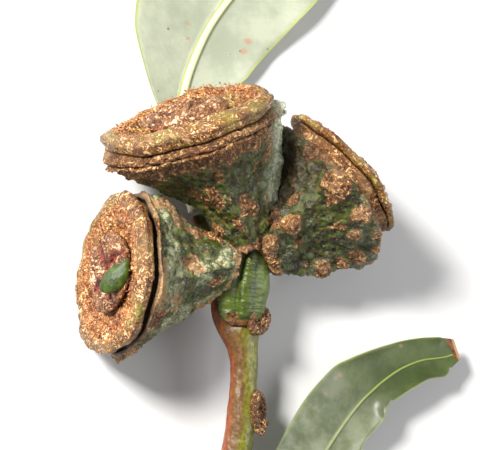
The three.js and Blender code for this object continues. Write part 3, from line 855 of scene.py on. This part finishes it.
def leaf_columns():
    """Places across the blade: as share of the half width, or inside the rib as share of its half."""
    outer = [
        BLADE_START + (1 - BLADE_START) * (i / BLADE_COLUMNS) ** 0.9 for i in range(1, BLADE_COLUMNS + 1)
    ]
    left = [("blade", -v) for v in reversed(outer)]
    return left + [("rib", v) for v in RIB_COLUMNS] + [("blade", v) for v in outer]


def bitten(leaf, share, t):
    """Share of the half width that small bites take from the blade's right edge."""
    if share <= 0:
        return 0
    return sum(depth * bell(t - at, size) for at, size, depth in leaf["bites"]) * share**6


def old_spot(leaf, spot):
    """How much a point of the blade lies on one of its old spots."""
    return max(
        1 - smooth(0.6, 1.3, (spot - Vector((x, y, spot.z))).length / size + 0.5 * rough(spot, 1.6, 2))
        for x, y, size in leaf["spots"]
    )


def leaf_piece(name, leaf, material, replaced):
    """Waved blade with its midrib, thin at the edge, its leaf stalk joined on."""
    path = [s[:3] for s in leaf["stations"]]
    widths = [s[3:5] for s in leaf["stations"]]
    rib_width, rib_height = leaf["rib"]
    wave_height, waves = leaf["wave"]
    columns = leaf_columns()
    mesh = bmesh.new()
    bmesh.ops.create_grid(mesh, x_segments=len(columns) - 1, y_segments=leaf["steps"], size=1)
    bmesh.ops.recalc_face_normals(mesh, faces=mesh.faces)
    solid = bmesh.ops.extrude_face_region(mesh, geom=list(mesh.faces))
    under = {item for item in solid["geom"] if isinstance(item, bmesh.types.BMVert)}
    paint = paint_layers(mesh, "rib", "edge", "along", "across", "spot")
    for vert in mesh.verts:
        kind, v = columns[round((vert.co.x + 1) / 2 * (len(columns) - 1))]
        t = (vert.co.y + 1) / 2
        centre, width = curve_point(path, t), curve_point(widths, t)
        way = curve_point(path, min(t + 0.04, 1)) - curve_point(path, max(t - 0.04, 0))
        side = Vector((way.y, -way.x, 0)).normalized()
        half = width.x if v < 0 else width.y
        rib_half = min(rib_width * (1 - 0.6 * t) * 0.5, 0.3 * min(width.x, width.y))
        if kind == "rib":
            reach = v * rib_half
            share = reach / max(half, 0.01)
            ridge = rib_height * (1 - 0.6 * t) * min(1, 12 * (1 - t)) * (1 - abs(v) ** 2.5)
            crest = 1 - smooth(0.6, 1.0, abs(v))
        else:
            out = (abs(v) - BLADE_START) / (1 - BLADE_START)
            reach = math.copysign(rib_half + (half - rib_half) * out, v)
            share = reach / max(half, 0.01)
            reach *= 1 - bitten(leaf, share, t)
            ridge = crest = 0
        spot = centre + side * reach
        edge = smooth(0.9, 1.0, abs(share))
        rise = leaf["lift"][0 if v < 0 else 1] * share**2 * math.sin(math.pi * t) ** 0.7
        wave = wave_height * share**4 * (1 + math.sin(2 * math.pi * waves * t + 2 * share))
        height = rise + wave * math.sin(math.pi * t) + 0.16 * rough(spot, 0.12, 2) * abs(share)
        slant = t * VEIN_COUNT - abs(share) * VEIN_SLANT
        vein = max(0, math.sin(2 * math.pi * slant)) ** 8 * smooth(0.06, 0.2, abs(share)) * (1 - edge)
        low = spot + UP * (max(height, 0) + 0.12 * edge)
        thick = BLADE_THICKNESS * (1 - 0.5 * edge)
        vert.co = low if vert in under else low + UP * (thick + ridge - 0.02 * vein)
        vert[paint["rib"]] = crest
        vert[paint["edge"]] = smooth(0.955, 0.985, abs(share)) + smooth(0.985, 0.998, t)
        vert[paint["spot"]] = old_spot(leaf, spot)
        vert[paint["along"]] = t
        vert[paint["across"]] = share
    petiole = [(x, y, z, r, r) for x, y, z, r in leaf["petiole"]]
    stem = tube(petiole, 32, 60, lambda turn, t, centre: (1, 0.04 * rough(centre, 0.6, 2)))
    stem_rib = stem.verts.layers.float.new("rib")
    for vert in stem.verts:
        vert[stem_rib] = 1
    add_mesh(mesh, stem)
    return finish_piece(name, mesh, material, (replaced,))


# Colours as shares of red, green and blue: a pair is a dark and a light tone, and a triple is the
# gaps, the body and the crests of a crust, the gaps partly painted shade and the crests partly painted
# highlight

HOLLOW_SHADE = (0.17, 0.13, 0.11)
AGED_SHADE = (0.66, 0.58, 0.5)
CUP_GREEN = ((0.006, 0.011, 0.001), (0.05, 0.085, 0.005))
CUP_OLIVE = (0.12, 0.17, 0.014)
MILKY_GREEN = (0.34, 0.38, 0.19)
WAX_AND_GLINT_WHITE = (0.66, 0.7, 0.6)
# Whitish waxy bloom, also laid as painted glints on the crests
FLECK_BROWN = (0.16, 0.06, 0.014)
SPECK_BROWN = (0.2, 0.08, 0.018)
CUP_CORK = ((0.04, 0.011, 0.003), (0.31, 0.12, 0.025), (0.88, 0.58, 0.27))
BLEACHED_CORK = (0.72, 0.48, 0.24)
SHADOW_BROWN = (0.02, 0.007, 0.003)
PALE_BLOOM = ((0.32, 0.4, 0.16), (0.95, 0.97, 0.82))
DISC_BROWN = ((0.08, 0.025, 0.005), (0.37, 0.16, 0.032), (0.94, 0.7, 0.4))
DISC_RUST = ((0.06, 0.013, 0.003), (0.46, 0.155, 0.03), (0.94, 0.66, 0.34))
DISC_OLIVE = (0.24, 0.14, 0.024)
DISC_GREEN = (0.13, 0.15, 0.008)
# Painted shade in the groove under the disc
DISC_GAP_SHADE = (0.035, 0.012, 0.005)
VALVE_BROWN = ((0.06, 0.014, 0.004), (0.36, 0.145, 0.04), (0.92, 0.7, 0.46))
CLEFT_RED = ((0.01, 0.002, 0.001), (0.26, 0.03, 0.014))
SWELLING_GREEN = ((0.02, 0.042, 0.002), (0.055, 0.095, 0.004))
SWELLING_SPECK = (0.2, 0.13, 0.03)
CRUMB_TONES = ((0.18, 0.045, 0.011), (0.66, 0.32, 0.11))
BARK_RED = ((0.17, 0.035, 0.01), (0.28, 0.07, 0.016))
BARK_BROWN = ((0.075, 0.03, 0.005), (0.14, 0.066, 0.009))
BARK_GREEN = ((0.08, 0.078, 0.003), (0.16, 0.16, 0.006))
BARK_LIGHT = (0.26, 0.14, 0.03)
BARK_DARK = (0.06, 0.02, 0.005)
SCAR_BROWN = ((0.05, 0.014, 0.004), (0.32, 0.14, 0.045), (0.72, 0.48, 0.25))
# Painted shade in the scars' pits
SCAR_PIT_SHADE = (0.03, 0.009, 0.004)
STALK_GREEN = ((0.02, 0.034, 0.002), (0.06, 0.09, 0.007))
STALK_LIT = (0.12, 0.17, 0.016)
# Painted sheen on the stalk's creases
STALK_CREST_SHEEN = (0.26, 0.32, 0.12)
STALK_SPECK = (0.2, 0.08, 0.02)
STALK_SEAM = ((0.03, 0.01, 0.004), (0.28, 0.11, 0.03))
LEAF_DOT = (0.12, 0.1, 0.05)
# Painted sheen: a pale reflection on the stalk half of the green leaf
LEAF_SHEEN = (0.42, 0.45, 0.34)
DRY_TIP = ((0.11, 0.04, 0.012), (0.3, 0.13, 0.045))
TORN_EDGE = (0.55, 0.36, 0.19)
LEAF_LOOKS = {
    "pale_leaf": {
        "tones": ((0.46, 0.5, 0.38), (0.6, 0.63, 0.5)),
        "midrib": (0.9, 0.9, 0.66),
        "margin": (0.5, 0.55, 0.13),
        "spot": (0.62, 0.26, 0.14),
        "gloss": 0.5,
    },
    "green_leaf": {
        "tones": ((0.07, 0.1, 0.03), (0.13, 0.17, 0.06)),
        "midrib": (0.34, 0.42, 0.12),
        "margin": (0.36, 0.42, 0.07),
        "spot": (0.5, 0.25, 0.18),
        "gloss": 0.34,
    },
}


# Shader steps


def feed(tree, socket, value):
    """Links a value to a socket, or sets it as the socket's constant."""
    if isinstance(value, bpy.types.NodeSocket):
        tree.links.new(value, socket)
    elif socket.type == "RGBA":
        socket.default_value = (*value, 1)
    else:
        socket.default_value = value


def add_node(tree, kind, settings=None, inputs=None):
    """A shader node with its settings and inputs, given back as its outputs."""
    item = tree.nodes.new(kind)
    for key, value in (settings or {}).items():
        setattr(item, key, value)
    for key, value in (inputs or {}).items():
        feed(tree, item.inputs[key], value)
    return item.outputs


def mix(tree, share, a, b, blend="MIX"):
    """Mixes two colours."""
    settings = {"data_type": "RGBA", "blend_type": blend}
    return add_node(tree, "ShaderNodeMix", settings, {0: share, 6: a, 7: b})[2]


def mix_numbers(tree, share, a, b):
    return add_node(tree, "ShaderNodeMix", {"data_type": "FLOAT"}, {0: share, 2: a, 3: b})[0]


def calculate(tree, operation, a, b=0.0):
    return add_node(tree, "ShaderNodeMath", {"operation": operation}, {0: a, 1: b})[0]


def times(tree, a, b):
    return calculate(tree, "MULTIPLY", a, b)


def plus(tree, a, b):
    return calculate(tree, "ADD", a, b)


def lay_over(tree, under, over, mask, strength=1.0):
    """Lays a colour over another where the mask is."""
    return mix(tree, times(tree, mask, strength), under, over)


def between(tree, value, low, high):
    """Goes smoothly from 0 at low to 1 at high."""
    inputs = {"Value": value, "From Min": low, "From Max": high}
    return add_node(tree, "ShaderNodeMapRange", {"interpolation_type": "SMOOTHSTEP"}, inputs)[0]


def attribute(tree, name):
    return add_node(tree, "ShaderNodeAttribute", {"attribute_name": name})["Fac"]


def millimetres(tree, stretch=(1, 1, 1)):
    """Object coordinates in millimetres, stretched by a factor on each axis."""
    place = add_node(tree, "ShaderNodeTexCoord")["Object"]
    scale = tuple(s / MM for s in stretch)
    return add_node(tree, "ShaderNodeMapping", None, {"Vector": place, "Scale": scale})[0]


def grain(tree, where, scale, detail=3.0, roughness=0.55, distortion=0.0):
    """Soft noise from 0 to 1, its patches 1/scale wide."""
    inputs = {
        "Vector": where, "Scale": scale, "Detail": detail, "Roughness": roughness, "Distortion": distortion,
    }
    return add_node(tree, "ShaderNodeTexNoise", None, inputs)[0]


def wander(tree, noise_value, reach):
    """The same noise around zero, as wide as the reach."""
    return times(tree, calculate(tree, "SUBTRACT", noise_value, 0.5), reach)


def new_group(name, inputs, outputs):
    """An empty node group, with the values it is given and the sockets it fills."""
    group = bpy.data.node_groups.new(name, "ShaderNodeTree")
    for way, sockets in (("INPUT", inputs), ("OUTPUT", outputs)):
        for socket, kind in sockets.items():
            group.interface.new_socket(name=socket, in_out=way, socket_type="NodeSocket" + kind)
    return group, group.nodes.new("NodeGroupInput").outputs, group.nodes.new("NodeGroupOutput").inputs


def make_mottle():
    """Group: a dark and a light tone in soft patches, with painted shade in the hollows of the relief."""
    group, given, filled = new_group(
        "mottle",
        {"Place": "Vector", "Scale": "Float", "Dark": "Color", "Light": "Color", "Relief": "Float"},
        {"Colour": "Color"},
    )
    patches = between(group, grain(group, given["Place"], given["Scale"], 4.0, 0.6), 0.36, 0.64)
    body = mix(group, patches, given["Dark"], given["Light"])
    shade = mix(group, between(group, given["Relief"], 0.05, 0.5), HOLLOW_SHADE, (1, 1, 1))
    feed(group, filled["Colour"], mix(group, 1.0, body, shade, "MULTIPLY"))
    return group


def make_crinkle():
    """Group: curly crests and gaps in three colours, with the same pattern as a height; the relief lightens
    the crests as painted highlight and darkens the gaps as painted shade.
    """
    group, given, filled = new_group(
        "crinkle",
        {"Place": "Vector", "Scale": "Float", "Relief": "Float", "Dark": "Color", "Middle": "Color",
         "Light": "Color"},
        {"Colour": "Color", "Height": "Float"},
    )
    curls = grain(group, given["Place"], given["Scale"], 4.0, 0.6, 1.8)
    lines = calculate(group, "ABSOLUTE", calculate(group, "SUBTRACT", curls, 0.5))
    lines = between(group, lines, 0.0, 0.16)
    # The relief lightens crests as painted highlight and darkens gaps as painted shade
    level = plus(group, lines, wander(group, given["Relief"], 0.45))
    low = mix(group, between(group, level, 0.0, 0.38), given["Dark"], given["Middle"])
    high = mix(group, between(group, level, 0.5, 1.08), low, given["Light"])
    patches = between(group, grain(group, given["Place"], 0.32, 2.0, 0.5), 0.4, 0.62)
    tone = mix(group, patches, AGED_SHADE, (1, 1, 1))
    feed(group, filled["Colour"], mix(group, 1.0, high, tone, "MULTIPLY"))
    feed(group, filled["Height"], lines)
    return group


def make_specks():
    """Group: a mask of scattered round specks."""
    group, given, filled = new_group(
        "specks",
        {"Place": "Vector", "Scale": "Float", "Size": "Float", "Share": "Float"},
        {"Mask": "Float"},
    )
    inputs = {"Vector": given["Place"], "Scale": given["Scale"]}
    cells = add_node(group, "ShaderNodeTexVoronoi", None, inputs)
    chance = add_node(group, "ShaderNodeSeparateColor", None, {0: cells["Color"]})[0]
    dot = calculate(group, "LESS_THAN", cells["Distance"], given["Size"])
    kept = calculate(group, "LESS_THAN", chance, given["Share"])
    feed(group, filled["Mask"], times(group, dot, kept))
    return group


MOTTLE = make_mottle()
CRINKLE = make_crinkle()
SPECKS = make_specks()


def mottled(tree, where, scale, tones, relief=0.5):
    inputs = {"Place": where, "Scale": scale, "Dark": tones[0], "Light": tones[1], "Relief": relief}
    return add_node(tree, "ShaderNodeGroup", {"node_tree": MOTTLE}, inputs)[0]


def crinkled(tree, where, scale, relief, tones):
    """Colour and height of a curly crust."""
    inputs = {"Place": where, "Scale": scale, "Relief": relief}
    inputs.update(zip(("Dark", "Middle", "Light"), tones))
    outputs = add_node(tree, "ShaderNodeGroup", {"node_tree": CRINKLE}, inputs)
    return outputs[0], outputs[1]


def specks(tree, where, scale, size, share):
    inputs = {"Place": where, "Scale": scale, "Size": size, "Share": share}
    return add_node(tree, "ShaderNodeGroup", {"node_tree": SPECKS}, inputs)[0]


# Materials


def new_material(name):
    """A material with its principled shader, ready for its colour, roughness and bump."""
    material = bpy.data.materials.new(name)
    material.use_nodes = True
    tree = material.node_tree
    return material, tree, tree.nodes["Principled BSDF"]


def connect(tree, shader, colour, roughness, height, strength, distance=0.15):
    """Gives the shader its colour and roughness, and the height as a bump."""
    feed(tree, shader.inputs["Base Color"], colour)
    feed(tree, shader.inputs["Roughness"], roughness)
    inputs = {"Strength": strength, "Distance": distance * MM, "Height": height}
    feed(tree, shader.inputs["Normal"], add_node(tree, "ShaderNodeBump", None, inputs)[0])


def crust_height(tree, where, lines):
    """Height of a curly crust with fine grain on it."""
    return plus(tree, times(tree, lines, 0.4), grain(tree, where, 2.6, 5.0, 0.7))


def cup_material():
    """Dark green with waxy crests that carry painted glints, painted shade in its hollows, neck and shaded
    facet, and fine brown specks, crusted with rust-brown cork.
    """
    material, tree, shader = new_material("warty_cup")
    where = millimetres(tree)
    wax, relief = attribute(tree, "wax"), attribute(tree, "relief")
    colour = mottled(tree, where, 1.1, CUP_GREEN, relief)
    olive = between(tree, grain(tree, where, 0.32, 3.0), 0.54, 0.7)
    colour = lay_over(tree, colour, CUP_OLIVE, olive, 0.4)
    # Whitish bloom in patches, left out of the hollows; the whitish net on the crests is partly the bloom and
    # partly painted glints
    milky = times(tree, between(tree, wax, 0.35, 1.2), between(tree, relief, 0.0, 0.6))
    patchy = between(tree, grain(tree, where, 0.9, 6.0, 0.7, 0.6), 0.38, 0.6)
    colour = lay_over(tree, colour, MILKY_GREEN, times(tree, milky, patchy))
    net = between(tree, grain(tree, where, 1.9, 5.0, 0.75, 1.4), 0.5, 0.64)
    net = times(tree, net, between(tree, relief, 0.35, 0.85))
    colour = lay_over(tree, colour, WAX_AND_GLINT_WHITE, calculate(tree, "MINIMUM", times(tree, wax, net), 1.0))
    fleck = between(tree, grain(tree, where, 2.4, 5.0, 0.75, 0.8), 0.53, 0.59)
    colour = lay_over(tree, colour, FLECK_BROWN, fleck, 0.75)
    colour = lay_over(tree, colour, SPECK_BROWN, specks(tree, where, 0.85, 0.2, 0.14))

    cork, lines = crinkled(tree, where, 1.2, relief, CUP_CORK)
    cork = lay_over(tree, cork, BLEACHED_CORK, between(tree, wax, 0.2, 1.0), 0.4)
    ragged = wander(tree, grain(tree, where, 1.8, 6.0, 0.75), 1.8)
    corky = between(tree, plus(tree, attribute(tree, "cork"), ragged), 0.36, 0.7)
    colour = lay_over(tree, colour, cork, corky)
    # Painted shade in the neck and on the facet in the top nut's shadow
    colour = lay_over(tree, colour, SHADOW_BROWN, attribute(tree, "dark"), 0.9)
    colour = lay_over(tree, colour, mottled(tree, where, 1.6, PALE_BLOOM), attribute(tree, "pale"), 0.85)
    height = plus(tree, grain(tree, where, 2.2, 5.0, 0.7), times(tree, times(tree, lines, corky), 0.4))
    connect(tree, shader, colour, mix_numbers(tree, corky, 0.24, 0.42), height, 0.75, 0.32)
    return material


def disc_material():
    """Glossy crinkled brown with painted cream glints on its crests, painted shade in its gaps and in the
    groove under its edge, and green streaks, its ridge rust-coloured.
    """
    material, tree, shader = new_material("corky_disc")
    where = millimetres(tree)
    relief, fibre = attribute(tree, "relief"), attribute(tree, "fibre")
    brown, lines = crinkled(tree, where, 0.95, relief, DISC_BROWN)
    tone = between(tree, grain(tree, where, 0.3, 2.0), 0.45, 0.62)
    brown = lay_over(tree, brown, DISC_OLIVE, tone, 0.3)
    rust, _ = crinkled(tree, where, 1.2, relief, DISC_RUST)
    colour = lay_over(tree, brown, rust, between(tree, fibre, 0.2, 0.75))
    streak = between(tree, grain(tree, where, 1.3, 5.0, 0.7), 0.44, 0.58)
    colour = lay_over(tree, colour, DISC_GREEN, times(tree, attribute(tree, "green"), streak), 0.8)
    # Painted shade in the groove under the disc
    colour = lay_over(tree, colour, DISC_GAP_SHADE, attribute(tree, "dark"), 0.85)
    height = crust_height(tree, where, lines)
    connect(tree, shader, colour, mix_numbers(tree, fibre, 0.22, 0.45), height, 0.5, 0.3)
    return material


def valve_material():
    """Crusty brown with painted cream glints on its crests and painted shade in its gaps, and a dark red
    cleft.
    """
    material, tree, shader = new_material("swollen_valves")
    where = millimetres(tree)
    brown, lines = crinkled(tree, where, 0.95, attribute(tree, "relief"), VALVE_BROWN)
    colour = lay_over(tree, brown, mottled(tree, where, 1.5, CLEFT_RED), attribute(tree, "cleft"))
    connect(tree, shader, colour, 0.34, crust_height(tree, where, lines), 0.6, 0.32)
    return material


def swelling_material():
    """Smooth deep green with a few brown specks."""
    material, tree, shader = new_material("green_swelling")
    where = millimetres(tree)
    colour = mottled(tree, where, 0.9, SWELLING_GREEN)
    colour = lay_over(tree, colour, SWELLING_SPECK, specks(tree, where, 1.2, 0.16, 0.25))
    connect(tree, shader, colour, 0.5, grain(tree, where, 1.6, 4.0), 0.5, 0.3)
    return material


def crumb_material():
    """Dry cork, each crumb in its own tint between rust and straw."""
    material, tree, shader = new_material("dry_crumbs")
    colour = mix(tree, attribute(tree, "tint"), *CRUMB_TONES)
    connect(tree, shader, colour, 0.45, grain(tree, millimetres(tree), 4.0), 0.3)
    return material


def twig_material():
    """Bark that goes from red-brown on the left over brown to yellow-green on the right."""
    material, tree, shader = new_material("smooth_bark")
    where = millimetres(tree)
    side = calculate(tree, "COSINE", calculate(tree, "SUBTRACT", attribute(tree, "turned"), 0.45))
    side = plus(tree, side, wander(tree, grain(tree, where, 0.3, 5.0, 0.7), 1.0))
    red, brown, green = (mottled(tree, where, 1.6, tones) for tones in (BARK_RED, BARK_BROWN, BARK_GREEN))
    colour = lay_over(tree, red, brown, between(tree, side, -0.85, -0.25))
    colour = lay_over(tree, colour, green, between(tree, side, -0.05, 0.55))
    fine = grain(tree, millimetres(tree, (1, 0.4, 1)), 3.2, 5.0, 0.75)
    colour = lay_over(tree, colour, BARK_LIGHT, between(tree, fine, 0.54, 0.68), 0.35)
    colour = lay_over(tree, colour, BARK_DARK, between(tree, fine, 0.47, 0.36), 0.45)
    connect(tree, shader, colour, 0.36, fine, 0.4, 0.14)
    return material


def scar_material():
    """Curly brown cork, its pit darkened as painted shade."""
    material, tree, shader = new_material("corky_scar")
    colour, curls = crinkled(tree, millimetres(tree), 1.5, attribute(tree, "relief"), SCAR_BROWN)
    colour = lay_over(tree, colour, SCAR_PIT_SHADE, attribute(tree, "dark"))
    connect(tree, shader, colour, 0.5, curls, 0.8, 0.35)
    return material


def stalk_material():
    """Dark glossy green, painted lighter to the right and on its lobe, with painted sheen on its creases and
    a brown seam at the foot.
    """
    material, tree, shader = new_material("glossy_stalk")
    where = millimetres(tree)
    colour = mottled(tree, where, 0.7, STALK_GREEN)
    colour = lay_over(tree, colour, STALK_LIT, attribute(tree, "lit"), 0.65)
    creased = grain(tree, millimetres(tree, (0.5, 2.2, 0.5)), 1.0, 6.0, 0.7, 0.6)
    # Painted sheen on the crests of the creases
    colour = lay_over(tree, colour, STALK_CREST_SHEEN, between(tree, creased, 0.54, 0.72), 0.4)
    colour = lay_over(tree, colour, STALK_SPECK, specks(tree, where, 0.9, 0.2, 0.22))
    colour = lay_over(tree, colour, mottled(tree, where, 1.5, STALK_SEAM), attribute(tree, "seam"))
    connect(tree, shader, colour, 0.27, creased, 0.5, 0.25)
    return material


def leaf_material(name):
    """Blade mottled in two tones, with faint veins, small dots, old spots, midrib and margin."""
    material, tree, shader = new_material(name)
    looks = LEAF_LOOKS[name]
    where = millimetres(tree)
    colour = mottled(tree, where, 0.16, looks["tones"])
    fine = grain(tree, where, 2.6, 5.0, 0.7)
    colour = lay_over(tree, colour, looks["tones"][1], between(tree, fine, 0.45, 0.7), 0.25)
    colour = lay_over(tree, colour, looks["tones"][0], between(tree, fine, 0.5, 0.32), 0.3)
    out = times(tree, calculate(tree, "ABSOLUTE", attribute(tree, "across")), VEIN_SLANT)
    slant = calculate(tree, "SUBTRACT", times(tree, attribute(tree, "along"), VEIN_COUNT), out)
    vein = between(tree, calculate(tree, "SINE", times(tree, slant, VEIN_WAVE)), 0.9, 1.0)
    vein = times(tree, vein, between(tree, grain(tree, where, 0.3), 0.45, 0.6))
    colour = lay_over(tree, colour, looks["midrib"], vein, 0.09)
    colour = lay_over(tree, colour, LEAF_DOT, specks(tree, where, 0.5, 0.1, 0.3), 0.7)
    colour = lay_over(tree, colour, looks["spot"], attribute(tree, "spot"), 0.6)
    rib = attribute(tree, "rib")
    crest = mix(tree, between(tree, rib, 0.55, 1.0), looks["margin"], looks["midrib"])
    colour = lay_over(tree, colour, crest, between(tree, rib, 0.0, 0.35))
    edge = calculate(tree, "MINIMUM", attribute(tree, "edge"), 1.0)
    colour = lay_over(tree, colour, looks["margin"], edge, 0.9)
    connect(tree, shader, colour, looks["gloss"], fine, 0.3, 0.1)
    return material


def painted(material):
    """Nodes of a finished material, its shader's colour socket and the colour it is given."""
    tree = material.node_tree
    socket = tree.nodes["Principled BSDF"].inputs["Base Color"]
    return tree, socket, socket.links[0].from_socket


def add_painted_sheen(material):
    """Lays a painted pale sheen, standing for a reflection, over the half of a leaf towards its stalk."""
    tree, socket, colour = painted(material)
    share = between(tree, attribute(tree, "along"), 0.72, 0.1)
    patchy = between(tree, grain(tree, millimetres(tree), 0.22, 5.0, 0.65), 0.36, 0.66)
    share = times(tree, share, plus(tree, times(tree, patchy, 0.6), 0.3))
    feed(tree, socket, lay_over(tree, colour, LEAF_SHEEN, share))


def add_dry_tip(material):
    """Turns a leaf brown and dry towards its broken tip, cream at the very edge."""
    tree, socket, colour = painted(material)
    where, along = millimetres(tree), attribute(tree, "along")
    lean = times(tree, attribute(tree, "across"), -0.012)
    ragged = plus(tree, along, plus(tree, wander(tree, grain(tree, where, 0.8, 4.0), 0.06), lean))
    colour = lay_over(tree, colour, mottled(tree, where, 1.2, DRY_TIP), between(tree, ragged, 0.95, 0.97))
    feed(tree, socket, lay_over(tree, colour, TORN_EDGE, between(tree, along, 0.978, 0.988)))


# Floor, light and camera


def make_stage():
    bpy.ops.mesh.primitive_plane_add(size=3, location=(0, 0, 0))
    floor = bpy.context.object
    floor.name = "floor"
    material, _, shader = new_material("pale_floor")
    shader.inputs["Base Color"].default_value = FLOOR_GREY
    shader.inputs["Roughness"].default_value = 0.8
    floor.data.materials.append(material)


def soft_lamp(name, place, size, power, colour):
    """A square soft lamp that points at the middle of the sprig."""
    data = bpy.data.lights.new(name, "AREA")
    data.size = size
    data.energy = power
    data.color = colour
    lamp = bpy.data.objects.new(name, data)
    bpy.context.collection.objects.link(lamp)
    lamp.location = place
    lamp.rotation_euler = (-Vector(place)).to_track_quat("-Z", "Y").to_euler()


def make_light():
    """Even light from the room and the soft lamps, with full-strength colours."""
    world = bpy.data.worlds.new("soft_room")
    world.use_nodes = True
    background = world.node_tree.nodes["Background"]
    background.inputs["Color"].default_value = (1, 1, 1, 1)
    background.inputs["Strength"].default_value = ROOM_LIGHT
    bpy.context.scene.world = world
    for lamp in LAMPS:
        soft_lamp(*lamp)
    bpy.context.scene.view_settings.view_transform = "Standard"


def make_camera():
    turn = Matrix.Rotation(VIEW_PITCH, 4, "X") @ Matrix.Rotation(VIEW_TURN, 4, "Y")
    place = turn @ Vector((*VIEW_CENTRE, VIEW_DISTANCE)) + UP * JUNCTION_HEIGHT + SHIFT
    data = bpy.data.cameras.new("view")
    data.sensor_width = FILM_WIDTH
    data.lens = FILM_WIDTH * VIEW_DISTANCE / VIEW_WIDTH
    data.clip_start = 0.01
    camera = bpy.data.objects.new("view", data)
    bpy.context.collection.objects.link(camera)
    camera.matrix_world = Matrix.Translation(place * MM) @ turn
    bpy.context.scene.camera = camera


def build():
    cup, disc, valve, crumb = cup_material(), disc_material(), valve_material(), crumb_material()
    for side, nut in NUTS.items():
        cup_piece(side, nut, cup)
        disc_piece(side, nut, disc)
        valves_piece(side, nut, valve)
        crumbs_piece(side, nut, crumb)
    green_swelling(NUTS["left"], swelling_material())
    twig_piece(twig_material())
    scars_piece(scar_material())
    stalk_piece(stalk_material())
    leaf_piece("grey_green_leaf", UPPER_LEAF, leaf_material("pale_leaf"), "leaf_upper")
    green_leaf = leaf_material("green_leaf")
    add_painted_sheen(green_leaf)
    add_dry_tip(green_leaf)
    leaf_piece("mid_green_leaf", LOWER_LEAF, green_leaf, "leaf_lower")


build()
make_stage()
make_light()
make_camera()
